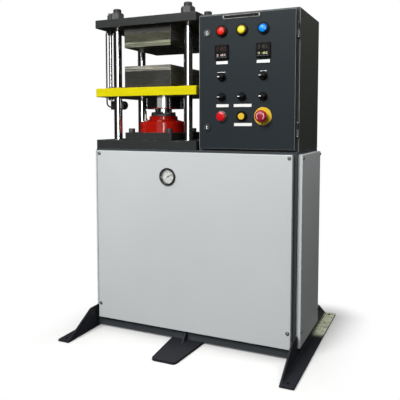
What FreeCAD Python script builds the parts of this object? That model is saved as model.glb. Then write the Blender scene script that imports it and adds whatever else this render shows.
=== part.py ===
"""Hydraulic moulding press: a floor cabinet that carries a four-column press and a control box.

Millimetres. X points right, Y points to the back and Z points up. The origin is on the floor under the
middle of the cabinet, and the front of the press faces -Y.
"""
import FreeCAD, Part
import math
import os

V = FreeCAD.Vector
UP = V(0, 0, 1)
RIGHT = V(1, 0, 0)
BACK = V(0, 1, 0)
FRONT = V(0, -1, 0)

# Cabinet
CAB_X = 390.0            # half width of the cabinet frame
CAB_Y = 150.0            # half depth of the cabinet frame
TUBE = 40.0              # square tube of the frame
TUBE_WALL = 3.0
FRAME_Z = 8.0            # the frame stands on plates this thick
FRAME_TOP = 690.0
DECK_T = 6.0
DECK_TOP = FRAME_TOP + DECK_T
DECK_JOINT_X = 31.5      # between the press and the control box
PANEL_T = 1.5
PANEL_Z0 = 42.0
PANEL_Z1 = 688.0
FRONT_PANEL_X = 378.0    # half width of the front and rear panels
FRONT_PANEL_DEEP = 16.0
SIDE_PANEL_Y = 138.0     # half width of the side panels
SIDE_PANEL_DEEP = 15.0
SCREW_INSET = 10.0       # from the top and side edges of a panel
SCREW_LOW = 56.0         # from the lower edge of a panel
SCREW_R = 2.5
SCREW_HEAD_R = 6.5
TANK_RAIL_X = (-280.0, 40.0)

# Feet
FOOT_W = 46.0
FOOT_T = 8.0
FOOT_Y = 340.0           # half length of a side foot
FOOT_WEB_T = 6.0
WEB_GAP = 3.0            # between an upright plate and the panel above it
FOOT_HOLE_R = 6.5
FOOT_HOLE_Y = 318.0
MID_FOOT_X = -6.0
MID_FOOT_FRONT_W = 90.0
MID_FOOT_REAR_W = 130.0
MID_FOOT_CORNER = 14.0

# Press plates and columns
PRESS_X0 = -390.0
PRESS_X1 = 30.0
PRESS_CX = -180.0
BASE_T = 32.0
BASE_TOP = DECK_TOP + BASE_T
BOLSTER_Z = 890.0
BOLSTER_T = 32.0
BOLSTER_TOP = BOLSTER_Z + BOLSTER_T
CROWN_Z = 1147.0
CROWN_T = 30.0
CROWN_TOP = CROWN_Z + CROWN_T
COLUMN_R = 16.0
COLUMN_X = (-330.0, -30.0)
COLUMN_Y = 90.0
STUD_R = 15.0            # threaded upper end of a column
STUD_TOP = 1224.0
TAIL_R = 11.0            # threaded lower end of a column
TAIL_Z = 664.0
WASHER_T = 4.0
TOP_NUT_AF = 46.0
TOP_NUT_H = 27.0
LOW_NUT_AF = 34.0
LOW_NUT_H = 18.0
RUN_FIT = 0.05           # radial clearance of sliding and turning fits
PLATE_EASE = 1.5

# Heated platens
PLATEN_X = 97.5          # half width
PLATEN_Y = 125.0         # half depth
UPPER_PLATEN_Z = 1071.0
UPPER_BLOCK_Z = 1092.0
UPPER_SPACER_Z = 1122.0
INSULATION_TOP = 932.0
LOWER_BLOCK_TOP = 983.0
LOWER_PLATEN_TOP = 1003.0
CARTRIDGE_R = 6.0
CARTRIDGE_PITCH = 46.0
CARTRIDGE_BLIND = 20.0
CARTRIDGE_OUT = 16.0

# Cylinder and ram
SOLE_T = 28.0
SOLE_TOP = BASE_TOP + SOLE_T
BARREL_R = 85.0
BARREL_Z = 596.0
BARREL_FIT = 0.5
CYL_R = 92.0
CYL_BAND_TOP = 793.0
CYL_SHOULDER_TOP = 803.0
TIER_R = 55.0
TIER_TOP = 818.0
CYL_BORE_R = 65.0
CYL_BORE_Z0 = 612.0
CYL_BORE_Z1 = 786.0
RAM_R = 33.0
PISTON_Z0 = 622.0
PISTON_Z1 = 664.0
HEAD_R = 80.0
HEAD_Z = 846.0
GLAND_R = 48.0
GLAND_TOP = 826.0
GLAND_BOLT_PCR = 41.0
GLAND_BOLTS = 8
SOLE_BOLT_X = 80.0
SOLE_BOLT_Y = 105.0
SPIGOT_R = 18.0          # of the ram in its head
SPIGOT_H = 24.0
RETURN_PORT_X = PRESS_CX - 78.0
RETURN_PORT_Y = -6.0
RETURN_X = -296.0        # where the return pipe goes down through the plates
RETURN_Y = 60.0
RETURN_HOLE_R = 8.0
RETURN_BEND_Z = 837.0
PORT_SEAT_Z = 792.0
PORT_R = 8.5

# Stroke rod, switch and its cable
ROD_X = -375.0
ROD_Y = -72.0
ROD_R = 6.5
ROD_Z0 = 879.0            # just over the stroke switch with the press open
ROD_TOP = 1216.0
ROD_NUT_AF = 19.0
ROD_NUT_H = 8.0
ROD_BUSH_R = 10.5
ROD_BUSH_FLANGE_R = 14.0
ROD_BUSH_PROUD = 15.0
ROD_STOP_GAP = 0.4       # the stop nut over its bush with the press open
SWITCH_Z = 861.0
SWITCH_Y0 = -66.0
SWITCH_Y1 = -36.0
SWITCH_HALF_H = 17.0
SWITCH_X0 = -380.0
SWITCH_NOSE_BACK = 6.0    # middle of its round end, left of the column's axis
SADDLE_R = 24.0
CABLE_R = 3.0
CABLE_X = -408.0
CABLE_REAR_Y = 161.0
CABLE_Z = 1158.0
CABLE_END_X = 62.0
CABLE_BEND = 19.0
CABLE_CLIP_X = (-330.0, -180.0, -40.0)
CABLE_CLIP_HALF = 6.0
CABLE_CLIP_WALL = 2.0
CABLE_SIDE_CLIP_Y = 60.0

# Control box
BOX_X0 = 33.0
BOX_X1 = 390.0
BOX_Y0 = -131.0
BOX_Y1 = 150.0
BOX_Z0 = DECK_TOP
BOX_Z1 = 1164.0
SHEET = 2.0
BOX_LIP = 20.0
DOOR_X0 = 42.0
DOOR_X1 = 381.0
DOOR_Z0 = 703.0
DOOR_Z1 = 1157.0
DOOR_Y = -150.0          # front face of the door
DOOR_BACK = -132.0
HINGE_X = 386.0
HINGE_Y = -140.0
HINGE_PIN_R = 2.5
KNUCKLE_R = 4.3
KNUCKLE_H = 22.0
HINGE_Z = (770.0, 1090.0)
HINGE_STRAP_HALF = 2.0
HINGE_GAP = 0.4
CABLE_HOLE_X = (210.0, 270.0)
CABLE_HOLE_Y = (30.0, 90.0)

# Switchgear in the control box
PLATE_X = (62.0, 362.0)
PLATE_Z = (726.0, 1136.0)
PLATE_T = 3.0
PLATE_STAND = 12.0       # between the plate and the back of the box
STAND_R = 7.0
STAND_INSET = 20.0
RAIL_X = (80.0, 344.0)
RAIL_Z = (1080.0, 960.0, 840.0)
RAIL_T = 7.0
RAIL_HALF = 17.5
# A row on each rail: how many, first left edge, pitch, width, depth, half height
GEAR_ROWS = ((4, 92.0, 50.0, 45.0, 62.0, 38.0), (3, 96.0, 76.0, 60.0, 70.0, 36.0),
             (16, 90.0, 15.0, 14.0, 40.0, 24.0))

# Controls on the door: columns and rows of the layout
COL_A = 126.0
COL_B = 199.0
COL_C = 273.0
ROW_LAMP = 1101.0
ROW_METER = 1032.0
ROW_SELECT_1 = 948.0
ROW_SELECT_2 = 880.0
ROW_BUTTON = 814.0
LOCK_X = 72.0
LOCK_Z = (777.0, 1098.0)
SELECTORS = ((COL_A, ROW_SELECT_1), (COL_C, ROW_SELECT_1), (COL_A, ROW_SELECT_2),
             (COL_B, ROW_SELECT_2), (COL_C, ROW_SELECT_2))
MOUNT_HOLE_R = 11.2      # standard 22 mm control hole
BARREL_22_R = 11.0
STEM_R = 7.0
STEM_IN = -16.0
LAMP_RIM_R = 17.5
LENS_R = 15.2
METER_HALF = 24.0
METER_PROUD = 9.0
METER_CUT_HALF = 22.5
METER_WINDOW_LOW = -16.0     # from the middle of a controller
METER_KEY_LOW = -21.8
METER_KEY_H = 4.0
ESTOP_DISC_T = 2.0
LOCK_R = 9.0
LOCK_CAM_Y = -127.5

# Pressure gauge
GAUGE_X = -76.0
GAUGE_Z = 600.0
GAUGE_R = 31.5
GAUGE_RIM_W = 6.0         # width of the black ring in front of the panel
GAUGE_DEEP = 8.0          # seat of the dial, behind the panel's face
ARBOR_R = 1.3
NEEDLE_TURN = 30.0       # above level, to the right

# Power pack
TANK_X = (-310.0, 80.0)
TANK_Y = 105.0
TANK_WALL = 3.0
LID_Z = 300.0
LID_T = 5.0
SHAFT_Z = 392.0
SHAFT_R = 9.5
MOTOR_X0 = -290.0
MOTOR_X1 = -90.0
MOTOR_R = 72.0
BELL_X1 = MOTOR_X1 + 56.0
PUMP_HALF = 48.0
PUMP_LONG = 70.0
VALVE_X = 46.0
VALVE_W = 34.0
VALVE_TOP = LID_Z + 150.0
COIL_TOP = VALVE_TOP + 46.0

PARTS = "parts"


def box(x0, x1, y0, y1, z0, z1):
    """A block between two corners."""
    return Part.makeBox(x1 - x0, y1 - y0, z1 - z0, V(x0, y0, z0))


def rod(x, y, z, radius, length, direction=UP):
    """A round bar that starts at a point and runs along a direction."""
    return Part.makeCylinder(radius, length, V(x, y, z), direction)


def ring(x, y, z, outer, inner, length, direction=UP):
    """A tube: a round bar with a hole right through it."""
    return rod(x, y, z, outer, length, direction).cut(rod(x, y, z, inner, length, direction))


def hexagon(x, y, z, across, height, turn=0.0):
    """A hexagonal prism that stands up, with its flats that far apart."""
    corner = across / math.sqrt(3.0)
    points = []
    for k in range(7):
        angle = math.radians(60.0 * k + turn)
        points.append(V(x + corner * math.cos(angle), y + corner * math.sin(angle), z))
    return Part.Face(Part.makePolygon(points)).extrude(V(0, 0, height))


def nut(x, y, z, across, height, bore, turn=0.0):
    """A hexagon nut with its corners turned off at both ends."""
    body = hexagon(x, y, z, across, height, turn)
    corner = across / math.sqrt(3.0)
    ease = corner * 0.16
    outline = rod(x, y, z + ease, corner, height - 2 * ease)
    low = Part.makeCone(corner - ease * 1.1, corner, ease, V(x, y, z))
    high = Part.makeCone(corner, corner - ease * 1.1, ease, V(x, y, z + height - ease))
    return body.common(outline.fuse([low, high])).cut(rod(x, y, z, bore, height))


def eased_box(x0, x1, y0, y1, z0, z1, ease):
    """A plate with every edge chamfered a little."""
    block = box(x0, x1, y0, y1, z0, z1)
    return block.makeChamfer(ease, block.Edges)


def plate_outline(points, thickness, direction):
    """A flat plate: a closed outline made thick along a direction."""
    corners = [V(*p) for p in points]
    corners.append(corners[0])
    return Part.Face(Part.makePolygon(corners)).extrude(direction * thickness)


def turned(profile, x, y, axis=UP, z=0.0):
    """A round part from its half profile of (radius, height) points."""
    points = [V(r, 0, h) for r, h in profile]
    points.append(points[0])
    solid = Part.Face(Part.makePolygon(points)).revolve(V(0, 0, 0), UP, 360)
    solid.Placement = FreeCAD.Placement(V(x, y, z), FreeCAD.Rotation(UP, axis))
    return solid


def pipe(points, radius, bend):
    """A round pipe along straight runs that are joined by tangent arcs of one radius."""
    corners = [V(*p) for p in points]
    edges = []
    start = corners[0]
    for k in range(1, len(corners) - 1):
        here = corners[k]
        back = (corners[k - 1] - here).normalize()
        ahead = (corners[k + 1] - here).normalize()
        half = math.acos(max(-1.0, min(1.0, back.dot(ahead)))) / 2.0
        reach = bend / math.tan(half)
        enter = here + back * reach
        leave = here + ahead * reach
        centre = here + (back + ahead).normalize() * (bend / math.sin(half))
        middle = centre + (here - centre).normalize() * bend
        if (enter - start).Length > 1e-6:
            edges.append(Part.LineSegment(start, enter).toShape())
        edges.append(Part.Arc(enter, middle, leave).toShape())
        start = leave
    edges.append(Part.LineSegment(start, corners[-1]).toShape())
    path = Part.Wire(edges)
    circle = Part.Wire(Part.Circle(corners[0], corners[1] - corners[0], radius).toShape())
    solid = path.makePipeShell([circle], True, False)
    ideal = math.pi * radius ** 2 * path.Length
    print("pipe radius", radius, "bend", bend, "length", round(path.Length, 1),
          "volume ratio", round(solid.Volume / ideal, 4))
    return solid


def save(name, *shapes):
    """Writes a node, one or more closed solids, as one file."""
    solids = []
    for shape in shapes:
        solids.extend(shape.Solids)
    for solid in solids:
        if not solid.isValid() or solid.Volume < 0:
            raise ValueError("bad solid in " + name)
    node = solids[0] if len(solids) == 1 else Part.makeCompound(solids)
    node.exportStep(os.path.join(PARTS, name + ".step"))


def hollow_tube(x0, x1, y0, y1, z0, z1, along):
    """A length of square tube: a block with a hole along one axis."""
    w = TUBE_WALL
    dx, dy, dz = (0 if along == a else w for a in "xyz")
    return box(x0, x1, y0, y1, z0, z1).cut(box(x0 + dx, x1 - dx, y0 + dy, y1 - dy, z0 + dz, z1 - dz))


def panel_screw_points(half, inset):
    """The four screw places of a panel as (across, height)."""
    across = half - inset
    return [(s * across, z) for s in (-1, 1) for z in (PANEL_Z0 + SCREW_LOW, PANEL_Z1 - SCREW_INSET)]


def screw_holes(radius, reach):
    """Bars through every panel screw, as long as the reach, used to drill the holes."""
    bars = []
    for a, z in panel_screw_points(FRONT_PANEL_X, SCREW_INSET):
        bars.append(rod(a, -CAB_Y - reach, z, radius, 2 * reach, BACK))
        bars.append(rod(a, CAB_Y - reach, z, radius, 2 * reach, BACK))
    for a, z in panel_screw_points(SIDE_PANEL_Y, SCREW_INSET):
        bars.append(rod(-CAB_X - reach, a, z, radius, 2 * reach, RIGHT))
        bars.append(rod(CAB_X - reach, a, z, radius, 2 * reach, RIGHT))
    return bars


def cabinet_frame():
    """Square tube posts, capped below, with the rails that are welded between them."""
    inner_x = CAB_X - TUBE
    inner_y = CAB_Y - TUBE
    holes = screw_holes(SCREW_R + 0.2, TUBE_WALL + 1.0)
    solids = []
    for sx in (-1, 1):
        for sy in (-1, 1):
            xs = sorted((sx * CAB_X, sx * inner_x))
            ys = sorted((sy * CAB_Y, sy * inner_y))
            foot_cap = box(xs[0], xs[1], ys[0], ys[1], FRAME_Z, FRAME_Z + TUBE_WALL)
            post = hollow_tube(xs[0], xs[1], ys[0], ys[1], FRAME_Z, FRAME_TOP, "z").fuse(foot_cap)
            solids.append(post.removeSplitter().cut(holes))
    for z0 in (FRAME_Z, FRAME_TOP - TUBE):
        for s in (-1, 1):
            ys = sorted((s * CAB_Y, s * inner_y))
            solids.append(hollow_tube(-inner_x, inner_x, ys[0], ys[1], z0, z0 + TUBE, "x"))
            xs = sorted((s * CAB_X, s * inner_x))
            solids.append(hollow_tube(xs[0], xs[1], -inner_y, inner_y, z0, z0 + TUBE, "y"))
    for x in TANK_RAIL_X:
        solids.append(hollow_tube(x - TUBE / 2, x + TUBE / 2, -inner_y, inner_y, FRAME_Z, FRAME_Z + TUBE, "y"))
    save("cabinet_frame", *solids)


def deck_plates():
    """Two plates welded side by side on the frame: one under the press, one under the control box."""
    left = box(-CAB_X, DECK_JOINT_X, -CAB_Y, CAB_Y, FRAME_TOP, DECK_TOP)
    left = drilled(left, column_points(), TAIL_R + 0.5, FRAME_TOP, DECK_T)
    left = left.cut([rod(PRESS_CX, 0, FRAME_TOP, BARREL_R + BARREL_FIT, DECK_T), return_pipe_hole()])
    right = box(DECK_JOINT_X, CAB_X, -CAB_Y, CAB_Y, FRAME_TOP, DECK_TOP)
    save("deck_plates", left, right.cut(cable_entry_hole()))


def cable_entry_hole():
    """The hole through the deck and the floor of the control box."""
    return box(*CABLE_HOLE_X, *CABLE_HOLE_Y, FRAME_TOP - 1.0, DECK_TOP + SHEET + 1.0)


def return_pipe_hole():
    """The hole through the plates for the return pipe of the cylinder."""
    return rod(RETURN_X, RETURN_Y, FRAME_TOP - 1.0, RETURN_HOLE_R, DECK_T + BASE_T + 2.0)


def tray(x0, x1, y0, y1, z0, z1, open_side):
    """A folded sheet tray, closed on five sides and open on one."""
    outer = box(x0, x1, y0, y1, z0, z1)
    soft = [e for e in outer.Edges if edge_on(e, open_side, (x0, x1, y0, y1))]
    outer = outer.makeFillet(PANEL_T * 1.4, soft)
    t = PANEL_T
    ends = {"+x": (t, -9, t, t), "-x": (-9, t, t, t), "+y": (t, t, t, -9), "-y": (t, t, -9, t)}
    a, b, c, d = ends[open_side]
    return outer.cut(box(x0 + a, x1 - b, y0 + c, y1 - d, z0 + t, z1 - t))


def edge_on(edge, open_side, ends):
    """True for the edges round the closed face that lies opposite the open side."""
    x0, x1, y0, y1 = ends
    face = {"+x": x0, "-x": x1, "+y": y0, "-y": y1}[open_side]
    for v in edge.Vertexes:
        value = v.X if "x" in open_side else v.Y
        if abs(value - face) > 1e-6:
            return False
    return True


def panels():
    """The front, rear and side panels, with holes for their screws and for the gauge."""
    holes = screw_holes(SCREW_R + 0.4, 30.0)
    deep = FRONT_PANEL_DEEP
    front = tray(-FRONT_PANEL_X, FRONT_PANEL_X, -CAB_Y - deep, -CAB_Y, PANEL_Z0, PANEL_Z1, "+y")
    gauge_hole = rod(GAUGE_X, -CAB_Y - deep - 1.0, GAUGE_Z, GAUGE_R - 3.0, deep, BACK)
    save("front_panel", front.cut(holes + [gauge_hole]))
    rear = tray(-FRONT_PANEL_X, FRONT_PANEL_X, CAB_Y, CAB_Y + deep, PANEL_Z0, PANEL_Z1, "-y")
    save("rear_panel", rear.cut(holes))
    deep = SIDE_PANEL_DEEP
    sides = [tray(CAB_X, CAB_X + deep, -SIDE_PANEL_Y, SIDE_PANEL_Y, PANEL_Z0, PANEL_Z1, "-x"),
             tray(-CAB_X - deep, -CAB_X, -SIDE_PANEL_Y, SIDE_PANEL_Y, PANEL_Z0, PANEL_Z1, "+x")]
    save("side_panels", *[s.cut(holes) for s in sides])


def panel_screw(x, y, z, outward):
    """A domed screw with its washer; the point given lies on the panel face."""
    head = [(0, -22.0), (SCREW_R, -22.0), (SCREW_R, 0), (SCREW_HEAD_R, 0), (SCREW_HEAD_R, 1.2), (5.2, 1.2),
            (5.0, 2.6), (4.2, 3.8), (2.8, 4.5), (1.6, 4.6), (1.6, 3.0), (0, 3.0)]
    return turned(head, x, y, outward, z)


def panel_screws():
    """Four screws in each of the four panels."""
    screws = []
    for a, z in panel_screw_points(FRONT_PANEL_X, SCREW_INSET):
        screws.append(panel_screw(a, -CAB_Y - FRONT_PANEL_DEEP, z, FRONT))
        screws.append(panel_screw(a, CAB_Y + FRONT_PANEL_DEEP, z, BACK))
    for a, z in panel_screw_points(SIDE_PANEL_Y, SCREW_INSET):
        screws.append(panel_screw(CAB_X + SIDE_PANEL_DEEP, a, z, RIGHT))
        screws.append(panel_screw(-CAB_X - SIDE_PANEL_DEEP, a, z, -RIGHT))
    save("panel_screws", *screws)


def side_foot(side):
    """One cross bar on the floor, with the upright plate that is welded to it and to the frame."""
    inner = side * CAB_X
    xs = sorted((inner, side * (CAB_X + FOOT_W)))
    bar = eased_box(xs[0], xs[1], -FOOT_Y, FOOT_Y, 0, FOOT_T, 0.8)
    for s in (-1, 1):
        bar = bar.cut(rod((xs[0] + xs[1]) / 2, s * FOOT_HOLE_Y, 0, FOOT_HOLE_R, FOOT_T))
    under = PANEL_Z0 - WEB_GAP
    half = [(334.0, FOOT_T), (216.0, 75.0), (200.0, 84.0), (142.0, 84.0), (142.0, under)]
    outline = [(0, -y, z) for y, z in half] + [(0, y, z) for y, z in reversed(half)]
    web = plate_outline(outline, FOOT_WEB_T, RIGHT)
    web.translate(V(inner if side > 0 else inner - FOOT_WEB_T, 0, 0))
    return [bar, web]


def middle_foot():
    """The wide plate under the front rail, with a small upright plate against the rail."""
    front, rear = MID_FOOT_FRONT_W / 2, MID_FOOT_REAR_W / 2
    y0, y1 = -FOOT_Y + 2.0, -CAB_Y + TUBE
    outline = [(MID_FOOT_X - front, y0, 0), (MID_FOOT_X + front, y0, 0),
               (MID_FOOT_X + rear, y1, 0), (MID_FOOT_X - rear, y1, 0)]
    plate = plate_outline(outline, FRAME_Z, UP)
    corners = [e for e in plate.Edges if e.Length < FRAME_Z + 0.1 and e.CenterOfMass.y < y0 + 1]
    plate = plate.makeFillet(MID_FOOT_CORNER, corners)
    height = PANEL_Z0 - WEB_GAP
    web = plate_outline([(0, -186.0, FRAME_Z), (0, -CAB_Y, FRAME_Z), (0, -CAB_Y, height), (0, -158.0, height)],
                        FOOT_WEB_T, RIGHT)
    web.translate(V(MID_FOOT_X - FOOT_WEB_T, 0, 0))
    return [plate, web]


def feet():
    """Both side feet and the middle one."""
    save("feet", *(side_foot(-1) + side_foot(1) + middle_foot()))


def column_points():
    """The four column centres."""
    return [(x, s * COLUMN_Y) for x in COLUMN_X for s in (-1, 1)]


def drilled(plate, points, radius, z, depth):
    """A plate with one upright hole at each point."""
    for x, y in points:
        plate = plate.cut(rod(x, y, z, radius, depth))
    return plate


def press_plate(z0, z1):
    """One of the thick plates of the press, with eased edges."""
    return eased_box(PRESS_X0, PRESS_X1, -CAB_Y, CAB_Y, z0, z1, PLATE_EASE)


def press_frame():
    """Base plate, columns and the crown plate."""
    base = drilled(press_plate(DECK_TOP, BASE_TOP), column_points(), TAIL_R + 0.1, DECK_TOP, BASE_T)
    base = base.cut([rod(PRESS_CX, 0, DECK_TOP, BARREL_R + BARREL_FIT, BASE_T), return_pipe_hole()])
    save("base_plate", base)
    crown = drilled(press_plate(CROWN_Z, CROWN_TOP), column_points(), STUD_R + 0.1, CROWN_Z, CROWN_T)
    save("crown_plate", crown.cut(rod(ROD_X, ROD_Y, CROWN_Z, ROD_BUSH_R, CROWN_T)))
    chamfer = 2.0
    profile = [(0, TAIL_Z), (TAIL_R, TAIL_Z), (TAIL_R, BASE_TOP), (COLUMN_R, BASE_TOP), (COLUMN_R, CROWN_Z),
               (STUD_R, CROWN_Z), (STUD_R, STUD_TOP - chamfer), (STUD_R - chamfer, STUD_TOP), (0, STUD_TOP)]
    save("columns", *[turned(profile, x, y) for x, y in column_points()])


def press_fasteners():
    """The columns' nuts and washers, and the screws of the cylinder's gland and sole."""
    fasteners = []
    for x, y in column_points():
        fasteners.append(ring(x, y, CROWN_TOP, TOP_NUT_AF / 2 + 5.0, STUD_R + 0.1, WASHER_T))
        fasteners.append(nut(x, y, CROWN_TOP + WASHER_T, TOP_NUT_AF, TOP_NUT_H, STUD_R, 12.0))
        fasteners.append(nut(x, y, FRAME_TOP - LOW_NUT_H, LOW_NUT_AF, LOW_NUT_H, TAIL_R, 30.0))
    for k in range(GLAND_BOLTS):
        angle = 2 * math.pi * (k + 0.5) / GLAND_BOLTS
        x = PRESS_CX + GLAND_BOLT_PCR * math.cos(angle)
        y = GLAND_BOLT_PCR * math.sin(angle)
        fasteners.append(cap_screw(x, y, GLAND_TOP, 4.0))
    for sx in (-1, 1):
        for sy in (-1, 1):
            fasteners.append(cap_screw(PRESS_CX + sx * SOLE_BOLT_X, sy * SOLE_BOLT_Y, SOLE_TOP, 8.0))
    save("press_fasteners", *fasteners)


def platen_block(z0, z1, ease=1.0):
    """A block with the footprint of the platens."""
    return eased_box(PRESS_CX - PLATEN_X, PRESS_CX + PLATEN_X, -PLATEN_Y, PLATEN_Y, z0, z1, ease)


def cartridge_points():
    """The places of the heater cartridges along the width of a block."""
    return [PRESS_CX + CARTRIDGE_PITCH * (k - 1.5) for k in range(4)]


def heater_block(name, z0, z1):
    """A heater block with its blind holes from the back, and the cartridges in them."""
    block = platen_block(z0, z1)
    z = (z0 + z1) / 2
    start = -PLATEN_Y + CARTRIDGE_BLIND
    length = PLATEN_Y - start
    cartridges = []
    for x in cartridge_points():
        block = block.cut(rod(x, start, z, CARTRIDGE_R, length, BACK))
        body = rod(x, start, z, CARTRIDGE_R, length + 4.0, BACK)
        end = rod(x, PLATEN_Y + 4.0, z, CARTRIDGE_R - 1.5, CARTRIDGE_OUT - 4.0, BACK)
        cartridges.append(body.fuse(end))
    save(name + "_heater_block", block)
    save("heaters_" + name, *cartridges)


def hot_platens():
    """The stacks of heater blocks and ground platens above and below."""
    save("upper_spacer", platen_block(UPPER_SPACER_Z, CROWN_Z))
    heater_block("upper", UPPER_BLOCK_Z, UPPER_SPACER_Z)
    save("upper_platen", platen_block(UPPER_PLATEN_Z, UPPER_BLOCK_Z))
    save("lower_insulation", platen_block(BOLSTER_TOP, INSULATION_TOP, 0.4))
    heater_block("lower", INSULATION_TOP, LOWER_BLOCK_TOP)
    save("lower_platen", platen_block(LOWER_BLOCK_TOP, LOWER_PLATEN_TOP))


def bolster():
    """The moving plate, its four flanged guide bushes and the stroke rod with its nuts."""
    plate = press_plate(BOLSTER_Z, BOLSTER_TOP)
    bush_r = COLUMN_R + 7.0
    plate = drilled(plate, column_points(), bush_r, BOLSTER_Z, BOLSTER_T)
    save("bolster_plate", plate.cut(rod(ROD_X, ROD_Y, BOLSTER_Z, ROD_R, BOLSTER_T)))
    profile = [(COLUMN_R + RUN_FIT, BOLSTER_Z), (bush_r, BOLSTER_Z), (bush_r, BOLSTER_TOP), (37.0, BOLSTER_TOP),
               (37.0, BOLSTER_TOP + 4.0), (35.5, BOLSTER_TOP + 5.5), (COLUMN_R + RUN_FIT, BOLSTER_TOP + 5.5)]
    save("guide_bushes", *[turned(profile, x, y) for x, y in column_points()])
    stroke = [rod(ROD_X, ROD_Y, ROD_Z0, ROD_R, ROD_TOP - ROD_Z0)]
    stop = CROWN_TOP + ROD_BUSH_PROUD + ROD_STOP_GAP
    seats = (BOLSTER_Z - ROD_NUT_H, BOLSTER_TOP, stop, stop + ROD_NUT_H)
    for z in seats:
        stroke.append(nut(ROD_X, ROD_Y, z, ROD_NUT_AF, ROD_NUT_H, ROD_R, 30.0))
    save("stroke_rod", *stroke)
    sleeve = [(ROD_R + RUN_FIT, CROWN_Z - 14.0), (ROD_BUSH_R, CROWN_Z - 14.0), (ROD_BUSH_R, CROWN_Z - 4.0),
              (ROD_BUSH_FLANGE_R, CROWN_Z - 4.0), (ROD_BUSH_FLANGE_R, CROWN_Z), (ROD_BUSH_R, CROWN_Z),
              (ROD_BUSH_R, CROWN_TOP + ROD_BUSH_PROUD), (ROD_R + RUN_FIT, CROWN_TOP + ROD_BUSH_PROUD)]
    save("rod_bush", turned(sleeve, ROD_X, ROD_Y))


def cylinder():
    """The cylinder on its sole, with its gland ring."""
    sole = platen_block(BASE_TOP, SOLE_TOP)
    sole = sole.cut([rod(PRESS_CX, 0, BASE_TOP, BARREL_R + BARREL_FIT, SOLE_T)])
    save("cylinder_sole", sole)
    bore = RAM_R + RUN_FIT
    body = [(0, BARREL_Z), (BARREL_R - 3.0, BARREL_Z), (BARREL_R, BARREL_Z + 3.0), (BARREL_R, SOLE_TOP),
            (CYL_R, SOLE_TOP), (CYL_R, CYL_BAND_TOP), (CYL_R - 4.0, CYL_BAND_TOP + 2.5),
            (TIER_R + 4.0, CYL_SHOULDER_TOP), (TIER_R, CYL_SHOULDER_TOP + 2.5), (TIER_R, TIER_TOP - 1.5),
            (TIER_R - 1.5, TIER_TOP), (bore, TIER_TOP), (bore, CYL_BORE_Z1), (CYL_BORE_R, CYL_BORE_Z1),
            (CYL_BORE_R, CYL_BORE_Z0), (0, CYL_BORE_Z0)]
    solid = turned(body, PRESS_CX, 0)
    ports = [rod(PRESS_CX, 0, BARREL_Z - 1.0, 6.0, CYL_BORE_Z0 - BARREL_Z + 2.0)]
    ports.append(rod(RETURN_PORT_X, RETURN_PORT_Y, PORT_SEAT_Z, PORT_R, 20.0))
    save("cylinder_body", solid.cut(ports))
    seal = [(bore, TIER_TOP), (GLAND_R, TIER_TOP), (GLAND_R, GLAND_TOP - 1.0), (GLAND_R - 1.0, GLAND_TOP),
            (bore, GLAND_TOP)]
    save("gland_ring", turned(seal, PRESS_CX, 0))


def cap_screw(x, y, z, size):
    """The head of a socket cap screw that stands on a face; size is its thread radius."""
    head = size * 1.5
    height = size * 1.9
    socket = size * 0.8
    profile = [(0, z), (head, z), (head, z + height - 0.8), (head - 0.8, z + height), (0, z + height)]
    return turned(profile, x, y).cut(hexagon(x, y, z + height * 0.45, socket * 1.73, height))


def ram():
    """Piston and rod in one, and the round head that carries the bolster."""
    piston_r = CYL_BORE_R - RUN_FIT
    top = HEAD_Z + SPIGOT_H
    profile = [(0, PISTON_Z0), (piston_r, PISTON_Z0), (piston_r, PISTON_Z1), (RAM_R, PISTON_Z1),
               (RAM_R, HEAD_Z), (SPIGOT_R, HEAD_Z), (SPIGOT_R, top), (0, top)]
    save("ram", turned(profile, PRESS_CX, 0))
    head = [(SPIGOT_R, HEAD_Z), (HEAD_R - 3.0, HEAD_Z), (HEAD_R, HEAD_Z + 3.0), (HEAD_R, BOLSTER_Z),
            (0, BOLSTER_Z), (0, top), (SPIGOT_R, top)]
    save("ram_head", turned(head, PRESS_CX, 0))


def limit_switch():
    """The stroke switch behind the front left column, with the saddle that holds it there."""
    column_x = COLUMN_X[0]
    low, high = SWITCH_Z - SWITCH_HALF_H, SWITCH_Z + SWITCH_HALF_H
    nose_x = column_x - SWITCH_NOSE_BACK
    body = box(SWITCH_X0, nose_x, SWITCH_Y0, SWITCH_Y1, low, high)
    nose = rod(nose_x, SWITCH_Y0, SWITCH_Z, SWITCH_HALF_H, SWITCH_Y1 - SWITCH_Y0, BACK)
    body = body.fuse(nose).removeSplitter()
    gland_z = SWITCH_Z - 6.0
    middle_y = (SWITCH_Y0 + SWITCH_Y1) / 2
    gland = rod(SWITCH_X0 - 8.0, middle_y, gland_z, 5.5, 8.0, RIGHT)
    saddle = ring(column_x, -COLUMN_Y, low + 6.0, SADDLE_R, COLUMN_R, 2 * SWITCH_HALF_H - 12.0)
    saddle = saddle.cut(box(column_x - SADDLE_R, column_x + SADDLE_R, -COLUMN_Y - SADDLE_R, -COLUMN_Y, low, high))
    arm = box(column_x - 12.0, column_x + 12.0, -COLUMN_Y + COLUMN_R + 4.0, SWITCH_Y0, low + 6.0, high - 6.0)
    save("limit_switch", body.fuse(gland), saddle.fuse(arm))
    route = [(SWITCH_X0 - 8.0, middle_y, gland_z), (CABLE_X, middle_y, gland_z), (CABLE_X, middle_y, CABLE_Z),
             (CABLE_X, CABLE_REAR_Y, CABLE_Z), (CABLE_END_X, CABLE_REAR_Y, CABLE_Z)]
    save("switch_cable", pipe(route, CABLE_R, CABLE_BEND))


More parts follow.
